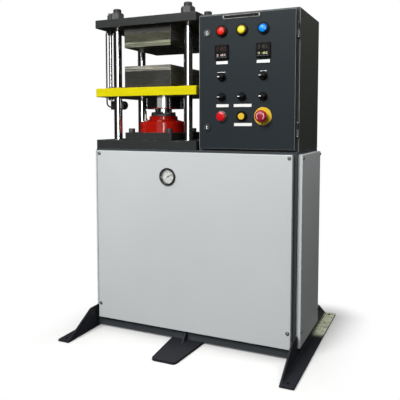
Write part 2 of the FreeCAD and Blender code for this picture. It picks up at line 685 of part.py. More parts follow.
def cable_fittings():
    """The clips that hold the cable to the crown, and the entry block on the back of the control box."""
    w = CABLE_CLIP_HALF
    outer = CABLE_R + CABLE_CLIP_WALL
    solids = []
    for x in CABLE_CLIP_X:
        clip = rod(x - w, CABLE_REAR_Y, CABLE_Z, outer, 2 * w, RIGHT)
        clip = clip.fuse(box(x - w, x + w, CAB_Y, CABLE_REAR_Y, CABLE_Z - 1.0, CABLE_Z + 10.0))
        solids.append(clip.cut(rod(x - w, CABLE_REAR_Y, CABLE_Z, CABLE_R, 2 * w, RIGHT)))
    y = CABLE_SIDE_CLIP_Y
    clip = rod(CABLE_X, y - w, CABLE_Z, outer, 2 * w, BACK)
    clip = clip.fuse(box(CABLE_X, PRESS_X0, y - w, y + w, CABLE_Z - 1.0, CABLE_Z + 8.0))
    solids.append(clip.cut(rod(CABLE_X, y - w, CABLE_Z, CABLE_R, 2 * w, BACK)))
    entry_y = CABLE_REAR_Y + 9.0
    entry_x = CABLE_END_X + 34.0
    solids.append(eased_box(CABLE_END_X, entry_x, BOX_Y1, entry_y, CABLE_Z - 24.0, CABLE_Z + 4.0, 1.0))
    save("cable_fittings", *solids)


def door_items():
    """The places of every round 22 mm control on the door, as (x, z)."""
    lamps = [(COL_A, ROW_LAMP), (COL_B, ROW_LAMP), (COL_C, ROW_LAMP)]
    buttons = [(COL_A, ROW_BUTTON), (COL_B, ROW_BUTTON), (COL_C, ROW_BUTTON)]
    return lamps + list(SELECTORS) + buttons


def hinge_bore(z, clearance):
    """The hole for a hinge pin, right through both halves of the hinge."""
    return rod(HINGE_X, HINGE_Y, z - KNUCKLE_H, HINGE_PIN_R + clearance, 2 * KNUCKLE_H + 1.0)


def control_box():
    """The shell with its rim, lower hinge halves and cable hole, and the pins of the hinges."""
    shell = box(BOX_X0, BOX_X1, BOX_Y0, BOX_Y1, BOX_Z0, BOX_Z1)
    shell = shell.makeFillet(3.0, [e for e in shell.Edges if edge_along_y(e)])
    t = SHEET
    shell = shell.cut(box(BOX_X0 + t, BOX_X1 - t, BOX_Y0 + t, BOX_Y1 - t, BOX_Z0 + t, BOX_Z1 - t))
    lip = BOX_LIP
    shell = shell.cut(box(BOX_X0 + lip, BOX_X1 - lip, BOX_Y0 - 1, BOX_Y0 + t + 1, BOX_Z0 + lip, BOX_Z1 - lip))
    shell = shell.cut(cable_entry_hole())
    pins = []
    for z in HINGE_Z:
        low = z - KNUCKLE_H
        knuckle = rod(HINGE_X, HINGE_Y, low, KNUCKLE_R, KNUCKLE_H)
        strap = box(HINGE_X - HINGE_STRAP_HALF, HINGE_X + HINGE_STRAP_HALF, HINGE_Y, BOX_Y0, low, z)
        shell = shell.fuse([knuckle, strap]).cut(hinge_bore(z, 0))
        pins.append(hinge_bore(z, 0).fuse(rod(HINGE_X, HINGE_Y, low - 1.5, HINGE_PIN_R + 1.2, 1.5)))
    save("box_shell", shell)
    save("hinge_pins", *pins)


def edge_along_y(edge):
    """True for an edge that runs front to back."""
    a, b = edge.Vertexes[0], edge.Vertexes[-1]
    return abs(a.X - b.X) < 1e-6 and abs(a.Z - b.Z) < 1e-6


def electrics():
    """The mounting plate in the control box, its rails and the rows of switchgear on them."""
    plate_y = BOX_Y1 - SHEET - PLATE_STAND
    face = plate_y - PLATE_T
    front = face - RAIL_T
    solids = [box(*PLATE_X, face, plate_y, *PLATE_Z)]
    for x in (PLATE_X[0] + STAND_INSET, PLATE_X[1] - STAND_INSET):
        for z in (PLATE_Z[0] + STAND_INSET, PLATE_Z[1] - STAND_INSET):
            solids.append(rod(x, plate_y, z, STAND_R, PLATE_STAND, BACK))
    for z, (count, first, pitch, width, deep, half) in zip(RAIL_Z, GEAR_ROWS):
        solids.append(box(*RAIL_X, front, face, z - RAIL_HALF, z + RAIL_HALF))
        for k in range(count):
            x = first + pitch * k
            solids.append(box(x, x + width, front - deep, front, z - half, z + half))
    save("electrics", *solids)


def door():
    """The door: a shallow tray with holes for the controls and the upper hinge halves."""
    outer = box(DOOR_X0, DOOR_X1, DOOR_Y, DOOR_BACK, DOOR_Z0, DOOR_Z1)
    front = [e for e in outer.Edges if edge_on(e, "+y", (DOOR_X0, DOOR_X1, DOOR_Y, DOOR_BACK))]
    outer = outer.makeFillet(2.4, front)
    t = SHEET
    panel = outer.cut(box(DOOR_X0 + t, DOOR_X1 - t, DOOR_Y + t, DOOR_BACK + 1, DOOR_Z0 + t, DOOR_Z1 - t))
    cuts = [rod(x, DOOR_Y - 1, z, MOUNT_HOLE_R, t + 2, BACK) for x, z in door_items()]
    cuts.extend(rod(LOCK_X, DOOR_Y - 1, z, LOCK_R + RUN_FIT, t + 2, BACK) for z in LOCK_Z)
    h = METER_CUT_HALF
    for x in (COL_A, COL_C):
        cuts.append(box(x - h, x + h, DOOR_Y - 1, DOOR_Y + t + 1, ROW_METER - h, ROW_METER + h))
    panel = panel.cut(cuts)
    for z in HINGE_Z:
        low = z + HINGE_GAP
        high = low + KNUCKLE_H
        knuckle = rod(HINGE_X, HINGE_Y, low, KNUCKLE_R, KNUCKLE_H)
        strap = box(DOOR_X1 - 1.0, HINGE_X, HINGE_Y - HINGE_STRAP_HALF, HINGE_Y + HINGE_STRAP_HALF, low, high)
        panel = panel.fuse([knuckle, strap]).cut(hinge_bore(z, RUN_FIT))
    save("door", panel)


def on_door(profile, x, z):
    """A round part on the door from (radius, height) points, heights counted out of the door face."""
    return turned(profile, x, DOOR_Y, FRONT, z)


def pilot_lamp(name, x):
    """A pilot lamp: domed lens, rim and the body behind the door."""
    rim, lens = LAMP_RIM_R, LENS_R
    profile = [(0, -34.0), (BARREL_22_R, -34.0), (BARREL_22_R, 0), (rim, 0), (rim, 3.0), (rim - 1.0, 4.0),
               (lens, 4.0), (lens, 8.0), (lens - 0.9, 10.8), (lens - 3.4, 13.2), (lens - 7.8, 14.9), (0, 15.6)]
    save(name, on_door(profile, x, ROW_LAMP))


def controllers():
    """Two square temperature controllers that sit in the door."""
    m = METER_HALF
    frame = 3.5
    key_half, key_pitch = 4.2, 10.4
    front = DOOR_Y - METER_PROUD
    solids = []
    for x in (COL_A, COL_C):
        bezel = box(x - m, x + m, front, DOOR_Y, ROW_METER - m, ROW_METER + m)
        bezel = bezel.makeFillet(2.0, [e for e in bezel.Edges if e.CenterOfMass.y < DOOR_Y - 1.0])
        half = m - frame
        low = ROW_METER + METER_WINDOW_LOW
        recess = box(x - half, x + half, front - 1.0, front + 1.4, low, ROW_METER + half)
        keys = []
        for k in (-1.5, -0.5, 0.5, 1.5):
            middle = x + key_pitch * k
            keys.append(box(middle - key_half, middle + key_half, front - 1.0, front + 0.2,
                            ROW_METER + METER_KEY_LOW, ROW_METER + METER_KEY_LOW + METER_KEY_H))
        h = METER_CUT_HALF - 0.4
        case = box(x - h, x + h, DOOR_Y, DOOR_Y + 84.0, ROW_METER - h, ROW_METER + h)
        solids.append(bezel.cut([recess] + keys).fuse(case).removeSplitter())
    save("controllers", *solids)


def switch_bodies():
    """The fixed bodies of the selectors and buttons: rim, threaded barrel and contact block."""
    rim = [(STEM_R + RUN_FIT, -52.0), (BARREL_22_R, -52.0), (BARREL_22_R, 0), (14.8, 0), (14.8, 3.2),
           (13.4, 4.6), (12.4, 4.6), (12.4, 2.0), (STEM_R + RUN_FIT, 2.0)]
    plain = [(STEM_R + RUN_FIT, -52.0), (BARREL_22_R, -52.0), (BARREL_22_R, 0), (14.8, 0), (14.8, 3.0),
             (STEM_R + RUN_FIT, 3.0)]
    solids = []
    places = [(x, z, rim) for x, z in SELECTORS]
    places.extend([(COL_A, ROW_BUTTON, plain), (COL_B, ROW_BUTTON, rim)])
    for x, z, profile in places:
        solids.append(switch_body(on_door(profile, x, z), x, z))
    tall = [(r, h + ESTOP_DISC_T if h >= 0 else h) for r, h in plain]
    solids.append(switch_body(on_door(tall, COL_C, ROW_BUTTON), COL_C, ROW_BUTTON))
    save("switch_bodies", *solids)


def switch_body(barrel, x, z):
    """Adds the contact block to a barrel and clears the way of the moving stem."""
    block = box(x - 15.0, x + 15.0, DOOR_Y + 20.0, DOOR_Y + 52.0, z - 19.0, z + 19.0)
    way = rod(x, DOOR_Y + 19.0, z, STEM_R + 1.0, 25.0, BACK)
    return barrel.fuse(block).cut(way)


def selectors():
    """Five turning selector knobs, each with a raised finger bar that lies level."""
    for k, (x, z) in enumerate(SELECTORS):
        profile = [(0, STEM_IN), (STEM_R, STEM_IN), (STEM_R, 2.4), (12.0, 2.4), (12.0, 7.0), (11.2, 8.0),
                   (0, 8.0)]
        knob = on_door(profile, x, z)
        bar = box(x - 11.2, x + 11.2, DOOR_Y - 19.0, DOOR_Y - 7.0, z - 4.0, z + 4.0)
        bar = bar.makeFillet(1.4, [e for e in bar.Edges if e.CenterOfMass.y < DOOR_Y - 8.0])
        save("selector_%d" % (k + 1), knob.fuse(bar).removeSplitter())


def push_buttons():
    """The large red button and the small yellow one."""
    red = [(0, STEM_IN), (STEM_R, STEM_IN), (STEM_R, 6.6), (16.0, 6.6), (16.0, 10.0), (14.6, 12.2),
           (10.0, 13.6), (0, 14.2)]
    save("red_button", on_door(red, COL_A, ROW_BUTTON))
    yellow = [(0, STEM_IN), (STEM_R, STEM_IN), (STEM_R, 5.4), (11.2, 5.4), (11.2, 8.6), (10.4, 9.4), (0, 9.6)]
    save("yellow_button", on_door(yellow, COL_B, ROW_BUTTON))


def emergency_stop():
    """The yellow disc, the stem that pushes in and the mushroom head that twists to let go."""
    x, z = COL_C, ROW_BUTTON
    disc = [(MOUNT_HOLE_R, 0), (30.0, 0), (30.0, 1.4), (29.4, ESTOP_DISC_T), (MOUNT_HOLE_R, ESTOP_DISC_T)]
    save("estop_disc", on_door(disc, x, z))
    pivot = 4.0
    stem = [(0, STEM_IN - 4.0), (STEM_R, STEM_IN - 4.0), (STEM_R, 14.0), (pivot, 14.0), (pivot, 22.0),
            (0, 22.0)]
    save("estop_stem", on_door(stem, x, z))
    hole = pivot + RUN_FIT
    head = [(hole, 14.3), (11.0, 14.3), (11.0, 17.0), (19.0, 18.6), (20.0, 20.4), (20.0, 25.0), (18.6, 28.6),
            (14.0, 31.4), (7.0, 32.8), (0, 33.2), (0, 22.3), (hole, 22.3)]
    save("estop_head", on_door(head, x, z))


def locks():
    """Two quarter-turn locks, each with its cam behind the door."""
    depth = LOCK_CAM_Y - DOOR_Y
    for name, z in zip(("lock_bottom", "lock_top"), LOCK_Z):
        profile = [(0, -depth - 3.0), (LOCK_R, -depth - 3.0), (LOCK_R, 0.3), (11.5, 0.3), (11.5, 2.6),
                   (10.4, 3.8), (0, 3.8)]
        barrel = on_door(profile, LOCK_X, z)
        slot = box(LOCK_X - 1.1, LOCK_X + 1.1, DOOR_Y - 5.0, DOOR_Y - 2.0, z - 5.0, z + 5.0)
        cam = box(LOCK_X - 7.0, LOCK_X + 7.0, LOCK_CAM_Y, LOCK_CAM_Y + 3.0, z - 30.0, z + 4.0)
        save(name, barrel.cut(slot).fuse(cam).removeSplitter())


def gauge():
    """The pressure gauge in the front panel, and its needle."""
    face = -CAB_Y - FRONT_PANEL_DEEP
    seat = face + GAUGE_DEEP
    inner = GAUGE_R - GAUGE_RIM_W
    bore = ARBOR_R + RUN_FIT
    case = [(0, -32.0), (7.0, -32.0), (7.0, -20.0), (GAUGE_R - 3.6, -20.0), (GAUGE_R - 3.6, 0), (GAUGE_R, 0),
            (GAUGE_R, 4.6), (GAUGE_R - 1.4, 6.6), (inner + 1.0, 6.6), (inner, 5.6), (inner, -GAUGE_DEEP),
            (bore, -GAUGE_DEEP), (bore, -GAUGE_DEEP - 8.0), (0, -GAUGE_DEEP - 8.0)]
    save("gauge_case", turned(case, GAUGE_X, face, FRONT, GAUGE_Z))
    arbor = rod(GAUGE_X, seat + 7.0, GAUGE_Z, ARBOR_R, 11.0, FRONT)
    arbor = arbor.fuse(rod(GAUGE_X, seat - 2.2, GAUGE_Z, 3.0, 1.8, FRONT))
    pointer = plate_outline([(-8.0, 0, -1.1), (-8.0, 0, 1.1), (20.0, 0, 0.5), (20.0, 0, -0.5)], 0.8, FRONT)
    pointer.rotate(V(0, 0, 0), FRONT, NEEDLE_TURN)
    pointer.translate(V(GAUGE_X, seat - 2.7, GAUGE_Z))
    save("gauge_needle", arbor.fuse(pointer))


def power_pack():
    """Oil tank with its lid, and the motor, pump and valve block that stand on it."""
    x0, x1 = TANK_X
    y, w, z0 = TANK_Y, TANK_WALL, FRAME_Z + TUBE
    tub = box(x0, x1, -y, y, z0, LID_Z - LID_T).cut(box(x0 + w, x1 - w, -y + w, y - w, z0 + w, LID_Z))
    lid = box(x0 - 6.0, x1 + 6.0, -y - 4.0, y + 4.0, LID_Z - LID_T, LID_Z)
    filler = ring(-260.0, -80.0, LID_Z, 18.0, 1.0, 26.0)
    save("oil_tank", tub, lid, filler)
    motor()
    low, high = SHAFT_Z - PUMP_HALF, SHAFT_Z + PUMP_HALF
    bell = ring(MOTOR_X1, 0, SHAFT_Z, 50.0, 42.0, BELL_X1 - MOTOR_X1, RIGHT)
    body = box(BELL_X1, BELL_X1 + PUMP_LONG, -PUMP_HALF, PUMP_HALF, low, high)
    body = body.cut(rod(BELL_X1, 0, SHAFT_Z, SHAFT_R + RUN_FIT, 22.0, RIGHT))
    post = box(BELL_X1 + 15.0, BELL_X1 + 55.0, -30.0, 30.0, LID_Z, low)
    save("pump_body", bell.fuse([body, post]).removeSplitter())
    block = box(VALVE_X, VALVE_X + VALVE_W, -40.0, 40.0, LID_Z, VALVE_TOP)
    coil = box(VALVE_X - 3.0, VALVE_X + VALVE_W + 3.0, -34.0, 34.0, VALVE_TOP, COIL_TOP)
    save("valve_block", block.fuse(coil).removeSplitter())


def motor():
    """The motor housing with its end shields and feet, and the rotor that turns in it."""
    length = MOTOR_X1 - MOTOR_X0
    hull = ring(MOTOR_X0, 0, SHAFT_Z, MOTOR_R, MOTOR_R - 8.0, length, RIGHT)
    for x in (MOTOR_X0 + 34.0, MOTOR_X1 - 10.0):
        hull = hull.fuse(ring(x, 0, SHAFT_Z, MOTOR_R - 4.0, SHAFT_R + RUN_FIT, 10.0, RIGHT))
    for x in (MOTOR_X0 + 50.0, MOTOR_X1 - 50.0):
        foot = box(x - 14.0, x + 14.0, -60.0, 60.0, LID_Z, SHAFT_Z - MOTOR_R + 14.0)
        hull = hull.fuse(foot.cut(rod(MOTOR_X0, 0, SHAFT_Z, MOTOR_R - 4.0, length, RIGHT)))
    save("motor_body", hull.removeSplitter())
    shaft = rod(MOTOR_X0 + 12.0, 0, SHAFT_Z, SHAFT_R, length + 60.0, RIGHT)
    core = rod(MOTOR_X0 + 62.0, 0, SHAFT_Z, 48.0, 100.0, RIGHT)
    fan = rod(MOTOR_X0 + 14.0, 0, SHAFT_Z, 24.0, 14.0, RIGHT)
    blade = box(MOTOR_X0 + 14.0, MOTOR_X0 + 28.0, -58.0, 58.0, SHAFT_Z - 2.0, SHAFT_Z + 2.0)
    blades = []
    for k in range(4):
        turn = blade.copy()
        turn.rotate(V(0, 0, SHAFT_Z), RIGHT, 45.0 * k)
        blades.append(turn)
    coupling = rod(MOTOR_X1 + 14.0, 0, SHAFT_Z, 30.0, 32.0, RIGHT)
    save("motor_rotor", shaft.fuse([core, fan, coupling] + blades).removeSplitter())


def oil_pipes():
    """Rigid pipes: pump to valve block, valve block to cylinder, cylinder top back down, and to the gauge."""
    pump_top = SHAFT_Z + PUMP_HALF
    arch = pump_top + 40.0
    pump_x = BELL_X1 + PUMP_LONG / 2
    valve_x = VALVE_X + VALVE_W / 2
    valve_z = (LID_Z + VALVE_TOP) / 2
    side_y = -75.0
    feed = pipe([(pump_x, -20.0, pump_top), (pump_x, -20.0, arch), (pump_x, side_y, arch),
                 (pump_x, side_y, valve_z), (valve_x, side_y, valve_z), (valve_x, -40.0, valve_z)], 6.0, 16.0)
    run_z = COIL_TOP + 54.0
    lift = pipe([(valve_x, 0, COIL_TOP), (valve_x, 0, run_z), (PRESS_CX, 0, run_z), (PRESS_CX, 0, BARREL_Z)],
                7.0, 24.0)
    px, py = RETURN_PORT_X, RETURN_PORT_Y
    back = pipe([(px, py, PORT_SEAT_Z), (px, py, RETURN_BEND_Z), (RETURN_X, RETURN_Y, RETURN_BEND_Z),
                 (RETURN_X, RETURN_Y, 640.0)], 5.0, 18.0)
    socket = ring(px, py, PORT_SEAT_Z, PORT_R, 5.0, 18.0)
    save("oil_pipes", feed, lift, back, socket)


def main():
    os.makedirs(PARTS, exist_ok=True)
    cabinet_frame()
    deck_plates()
    panels()
    panel_screws()
    feet()
    press_frame()
    press_fasteners()
    hot_platens()
    bolster()
    cylinder()
    ram()
    limit_switch()
    cable_fittings()
    control_box()
    electrics()
    door()
    pilot_lamp("lamp_red", COL_A)
    pilot_lamp("lamp_yellow", COL_B)
    pilot_lamp("lamp_blue", COL_C)
    controllers()
    switch_bodies()
    selectors()
    push_buttons()
    emergency_stop()
    locks()
    gauge()
    power_pack()
    oil_pipes()


main()
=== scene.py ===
"""Finish, small trim, light and camera for a floor standing hydraulic moulding press.

Metres. X points right, Y to the back and Z up; the front of the press faces -Y. Every solid of the
press comes with the frame, and this file gives each one its finish and adds the small pieces.
"""
import math

import bmesh
import bpy
from bpy.props import FloatProperty, FloatVectorProperty, IntProperty, PointerProperty, StringProperty
from mathutils import Matrix, Vector


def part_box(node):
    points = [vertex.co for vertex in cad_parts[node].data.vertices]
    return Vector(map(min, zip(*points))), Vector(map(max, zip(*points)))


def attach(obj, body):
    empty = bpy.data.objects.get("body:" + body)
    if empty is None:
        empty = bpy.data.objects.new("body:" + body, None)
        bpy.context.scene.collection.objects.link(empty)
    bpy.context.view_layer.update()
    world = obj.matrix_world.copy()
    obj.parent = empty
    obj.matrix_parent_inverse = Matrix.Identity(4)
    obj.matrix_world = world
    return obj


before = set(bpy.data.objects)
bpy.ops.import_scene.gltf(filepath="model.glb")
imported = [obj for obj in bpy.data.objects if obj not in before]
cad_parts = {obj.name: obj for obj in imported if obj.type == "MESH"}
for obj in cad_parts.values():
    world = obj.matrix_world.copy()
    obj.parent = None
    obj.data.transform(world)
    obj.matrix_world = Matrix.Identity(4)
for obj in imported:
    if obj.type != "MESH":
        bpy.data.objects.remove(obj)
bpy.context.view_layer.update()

bl_info = {
    "name": "Hydraulic moulding press",
    "version": (1, 0, 0),
    "blender": (4, 5, 0),
    "location": "View3D > Sidebar > Press",
    "description": "Finishes, small trim, light and camera for a hydraulic moulding press",
    "category": "Object",
}

MM = 0.001

# Control box and door; their boxes take in the hinges, so these edges are given by themselves
DOOR_LOW, DOOR_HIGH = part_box("door")
DOOR_FACE = DOOR_LOW.y
DOOR_RIGHT = 381.0 * MM
DOOR_BACK = -132.0 * MM  # back edge of the leaf's rim
BOX_FRONT = -131.0 * MM
BOX_RIGHT = 390.0 * MM
METER_LOW, METER_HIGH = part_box("controllers")
METER_HALF = (METER_HIGH.z - METER_LOW.z) / 2
METER_RECESS = 1.4 * MM  # how deep the window lies in its controller
LOCK_RIM = 11.5 * MM  # from a lock's top to its axis
LENS_R = 15.4 * MM  # of a pilot lamp
LENS_PROUD = 4.1 * MM  # where the lens starts, in front of the door
SELECTORS = ["selector_%d" % k for k in range(1, 6)]
LABELS = {  # left, right, low and high edge on the door in millimetres; the marks are thin lines
    "label_left_meter": (105.5, 147.5, 991, 1001),
    "label_right_meter": (250, 295, 989.5, 999.5),
    "label_left_switch": (106.5, 151, 845.5, 855.5),
    "label_middle_switch": (169.5, 233, 845.5, 855.5),
    "label_middle_button": (171.5, 234.5, 781.5, 791.5),
    "mark_left": (110, 138, 962.6, 964.4),
    "mark_right": (262, 285, 962, 964),
}
NAMEPLATE = (127, 262, 1140, 1155)
PLATE_T = 0.8 * MM
RIVET = ((0, 0.8), (1.9, 0.8), (1.9, 1.2), (1.2, 1.9), (0, 2.1))  # radius and height, in mm
RINGS = (  # controls, inner and outer radius and stand in front of the door in millimetres, and the finish
    (("lock_top", "lock_bottom"), 11.9, 14.6, 2.4, "ring_black"),
    (("yellow_button",), 15.0, 18.6, 5.4, "collar_black"),
    (("red_button",), 16.5, 18.5, 6.0, "bezel_zinc"),
    (("lamp_red", "lamp_yellow", "lamp_blue"), 17.8, 20.2, 4.6, "collar_black"),
)
SEGMENTS = {"0": "abcdef", "1": "bc", "2": "abdeg", "3": "abcdg", "4": "bcfg", "5": "acdfg", "6": "acdefg",
            "7": "abc", "8": "abcdefg", "9": "abcdfg"}
WINDOW = (-20.0, 20.0, -15.6, 20.1)  # edges round a controller's middle in millimetres
KEY_PITCH, KEY_HALF = 10.4 * MM, 3.9 * MM
KEY_EDGES = (-21.5 * MM, -18.1 * MM)
DIGIT_PITCH = 8.6 * MM
DIGIT_WIDTH = 5.0 * MM
DIGIT_LEAN = 0.1
POINTER_START, POINTER_END = 1.8 * MM, 10.2 * MM  # from the selector's middle
STOP_DOME = ((0.0, 33.2), (7.0, 32.8), (14.0, 31.4), (18.6, 28.6), (20.0, 25.0))  # radius and height, in mm
ARROW_HEAD = 0.3  # the head's share of an arrow
SEAL_INSET = 9.0 * MM
SEAL_HALF = (4.0 * MM, 5.4 * MM)  # half the seal's width and depth
SEAL_DEEP = 5.0 * MM
SEAL_CORNER = 6.0 * MM
GEAR_BACK = 21.0 * MM  # from the back of the plate's stand-offs to the rails' front
GEAR_REACH = 45.0 * MM  # half the height of a housing
GEAR_ROWS = (  # height of a row, its housings, the band along their middle and half the band's height
    (1080.0 * MM, (0.5, 0.5, 0.48), (0.02, 0.02, 0.022), 9.0 * MM),
    (960.0 * MM, (0.045, 0.047, 0.05), (0.3, 0.31, 0.3), 12.0 * MM),
    (840.0 * MM, (0.36, 0.32, 0.24), (0.1, 0.09, 0.07), 7.0 * MM),
)

# Gauge
PANEL_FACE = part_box("front_panel")[0].y
DIAL_BACK = 8.0 * MM  # how deep the dial lies behind the panel's face
DIAL_T = 0.6 * MM
DIAL_R = 25.3 * MM
DIAL = ((1.6, 0), (24.9, 0), (25.3, 0.2), (25.3, 0.6), (1.6, 0.6))  # radius and height, in mm
SCALE_R = DIAL_R - 1.6 * MM
SCALE_LINE = 0.5 * MM
FIGURE_R = DIAL_R - 11.0 * MM
FIGURE_H = 5.2 * MM
BOLD_TICK, FINE_TICK = (5.2 * MM, 0.95 * MM), (3.0 * MM, 0.45 * MM)  # length and width
INK_T = 0.08 * MM
GLASS = ((0, 5.6), (9, 5.4), (18, 4.8), (25.3, 3.8), (25.3, 5), (18, 6), (9, 6.6), (0, 6.8))

# Press and feet
COLUMN_R = 16.0 * MM
STUD_R = 15.0 * MM
ROD_R = 6.5 * MM
CABINET_HALF = 390.0 * MM
FOOT_WEB = 6.0 * MM
FOOT_TOP = 8.0 * MM
SIDE_WELD = 332.0 * MM  # half the length of a side foot's weld
MID_FOOT_X = -6.0 * MM
MID_WELD = (-184.0 * MM, -152.0 * MM)

# Stage
LIGHTS = (  # each with the point that it looks at, its width and its height
    ("key", (0.0, 0.0, 0.62), 2.2, 2.0),
    ("side", (0.4, 0.0, 0.75), 0.5, 0.5),
    ("strip", (0.0, 0.0, 0.62), 0.4, 1.8),
)
FLOOR_R, FLOOR_T = 6.0, 0.02
FLOOR_KEEP = (0.4, 0.3)  # half the size of the floor that keeps its own colour
FLOOR_FADE = (0.02, 0.2)  # how far outside it the white starts and is whole
FLOOR_LIFT = 0.1  # light of its own, so that it comes near the white
FLOOR_BOUNCE = (0.05, 0.05, 0.05)  # what the press gets back from it
SCREEN_R, SCREEN_T = 4.6, 0.02
SCREEN_FOOT, SCREEN_TOP = 0.02, 6.0
SCREEN_TONE = (0.035, 0.036, 0.038)

# Colours that finishes share
WHITE = (1.0, 1.0, 1.0)
OXIDE = (0.03, 0.03, 0.032)
# pale edge colour: a painted highlight on rounded edges, partly rubbed wear
EDGE_HIGHLIGHT_AND_WEAR = (0.3, 0.32, 0.33)
DUST = (0.4, 0.39, 0.36)
# pale colour for a painted pool of light on top of the right foot's rear
PAINTED_LIGHT_PALE = (0.9, 0.94, 0.68)
HEAT_TINT = (0.12, 0.12, 0.045)
BROWN_BLOOM = (0.3, 0.24, 0.16)
# near black colour for painted shade on faces that look down
UNDERSIDE_SHADE_TONE = (0.006, 0.006, 0.005)


def middle(node):
    """The middle of a node's box."""
    low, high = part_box(node)
    return (low + high) / 2


def control_centre(name):
    """The axis of a control on the door; a lock's cam hangs below its plug."""
    low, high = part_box(name)
    z = high.z - LOCK_RIM if name.startswith("lock") else (low.z + high.z) / 2
    return Vector(((low.x + high.x) / 2, low.y, z))


def operation(kind, swapped=False):
    """A method that works out a Math node of a kind on a term and what stands beside it."""
    def method(term, *others):
        values = (*others, term) if swapped else (term, *others)
        made = term.network.node("ShaderNodeMath", {"operation": kind}, dict(enumerate(values)))
        return Term(term.network, made.outputs[0])
    return method


class Term:
    """A number that the shader works out at each point. Sums on it add Math nodes."""

    def __init__(self, network, socket):
        self.network = network
        self.socket = socket

    def rise(self, low, high):
        """Climbs smoothly from 0 at low to 1 at high."""
        made = self.network.node("ShaderNodeMapRange", {"interpolation_type": "SMOOTHSTEP"},
                                 {"Value": self, "From Min": low, "From Max": high})
        return Term(self.network, made.outputs[0])

    __add__ = __radd__ = operation("ADD")
    __mul__ = __rmul__ = operation("MULTIPLY")
    __sub__ = operation("SUBTRACT")
    __rsub__ = operation("SUBTRACT", swapped=True)
    __pow__ = operation("POWER")
    __abs__ = operation("ABSOLUTE")
    __gt__ = operation("GREATER_THAN")
    __lt__ = operation("LESS_THAN")
    least = operation("MINIMUM")
    most = operation("MAXIMUM")


def distance(first, second):
    """How far two terms reach together, at right angles."""
    return (first ** 2 + second ** 2) ** 0.5


class Network:
    """The nodes of a material or of the world."""

    def __init__(self, owner):
        owner.use_nodes = True
        self.tree = owner.node_tree

    def feed(self, socket, value):
        """Links a term or a socket, or sets a plain value."""
        if isinstance(value, Term):
            self.tree.links.new(value.socket, socket)
        elif isinstance(value, bpy.types.NodeSocket):
            self.tree.links.new(value, socket)
        elif socket.type == "RGBA":
            socket.default_value = (*value[:3], 1.0)
        else:
            socket.default_value = value

    def node(self, kind, settings=None, inputs=None):
        """Adds a node: its settings first, then values or links for its sockets by name or number."""
        made = self.tree.nodes.new(kind)
        for key, value in (settings or {}).items():
            setattr(made, key, value)
        for key, value in (inputs or {}).items():
            self.feed(made.inputs[key], value)
        return made

    def place(self, kind="Object"):
        """The point on the press, or the direction in the room, as a vector socket."""
        return self.node("ShaderNodeTexCoord").outputs[kind]

    def axes(self, vector=None):
        """Three terms: x, y and z of a vector, by default the point on the press."""
        made = self.node("ShaderNodeSeparateXYZ", None, {0: vector or self.place()})
        return [Term(self, socket) for socket in made.outputs]

    def mix(self, share, first, second):
        """A colour between two; share 0 gives the first."""
        made = self.node("ShaderNodeMix", {"data_type": "RGBA"}, {0: share, 6: first, 7: second})
        return made.outputs[2]

    def seen(self, glossy=True):
        """One for the camera's rays and those through glass, and for mirror rays unless glossy is off."""
        path = self.node("ShaderNodeLightPath")
        camera, mirror, through = (Term(self, path.outputs[name]) for name in
                                   ("Is Camera Ray", "Is Glossy Ray", "Is Transmission Ray"))
        whole = camera.most(through)
        return whole.most(mirror) if glossy else whole


class Finish(Network):
    """A material in the making, with its shader's constants set on the shader's own sockets."""

    def __init__(self, name, shine=0.5, constants=None):
        self.material = bpy.data.materials.new(name)
        super().__init__(self.material)
        self.shader = self.tree.nodes["Principled BSDF"]
        for socket, value in {"Specular IOR Level": shine, **(constants or {})}.items():
            self.paint(socket, value)

    def paint(self, socket, value):
        """Feeds one socket of the shader."""
        self.feed(self.shader.inputs[socket], value)

    def facing(self):
        """Three terms: how far the surface faces along x, y and z."""
        return self.axes(self.node("ShaderNodeNewGeometry").outputs["Normal"])

    def noise(self, scale, detail=2.0, rough=0.5):
        """Cloudy noise; scale counts per metre, one number or three for noise drawn out along an axis."""
        vector = self.place()
        if not isinstance(scale, (int, float)):
            stretch = self.node("ShaderNodeVectorMath", {"operation": "MULTIPLY"}, {0: vector, 1: scale})
            vector, scale = stretch.outputs[0], 1.0
        made = self.node("ShaderNodeTexNoise", None,
                         {"Vector": vector, "Scale": scale, "Detail": detail, "Roughness": rough})
        return Term(self, made.outputs[0])

    def specks(self, scale):
        """The distance to scattered points."""
        made = self.node("ShaderNodeTexVoronoi", None, {"Vector": self.place(), "Scale": scale})
        return Term(self, made.outputs["Distance"])

    def tones(self, share, colour, first, second):
        """A colour between two shades of one, each given as a factor."""
        return self.mix(share, shade(colour, first), shade(colour, second))

    def done(self, colour, rough, relief, metal=None):
        """Feeds colour, roughness, relief and, where it varies, metal, and gives the material.

        relief is the height as a term, with the bump's strength and depth.
        """
        height, strength, depth = relief
        bump = self.node("ShaderNodeBump", None, {"Strength": strength, "Distance": depth, "Height": height})
        self.paint("Base Color", colour)
        self.paint("Roughness", rough)
        self.paint("Normal", bump.outputs[0])
        if metal is not None:
            self.paint("Metallic", metal)
        return self.material


def shade(colour, *factors):
    """A colour made darker or lighter, by one factor or by one for each channel."""
    if len(factors) == 1:
        factors *= 3
    return tuple(min(1.0, part * factor) for part, factor in zip(colour, factors))


def box_edge(finish, low, high):
    """Distance from the nearest edge of a box shaped part, at a point on its surface."""
    gaps = []
    for axis, term in enumerate(finish.axes()):
        gaps.append((high[axis] - low[axis]) / 2 - abs(term - (high[axis] + low[axis]) / 2))
    small = gaps[0].least(gaps[1])
    large = gaps[0].most(gaps[1])
    return small.most(large.least(gaps[2]))


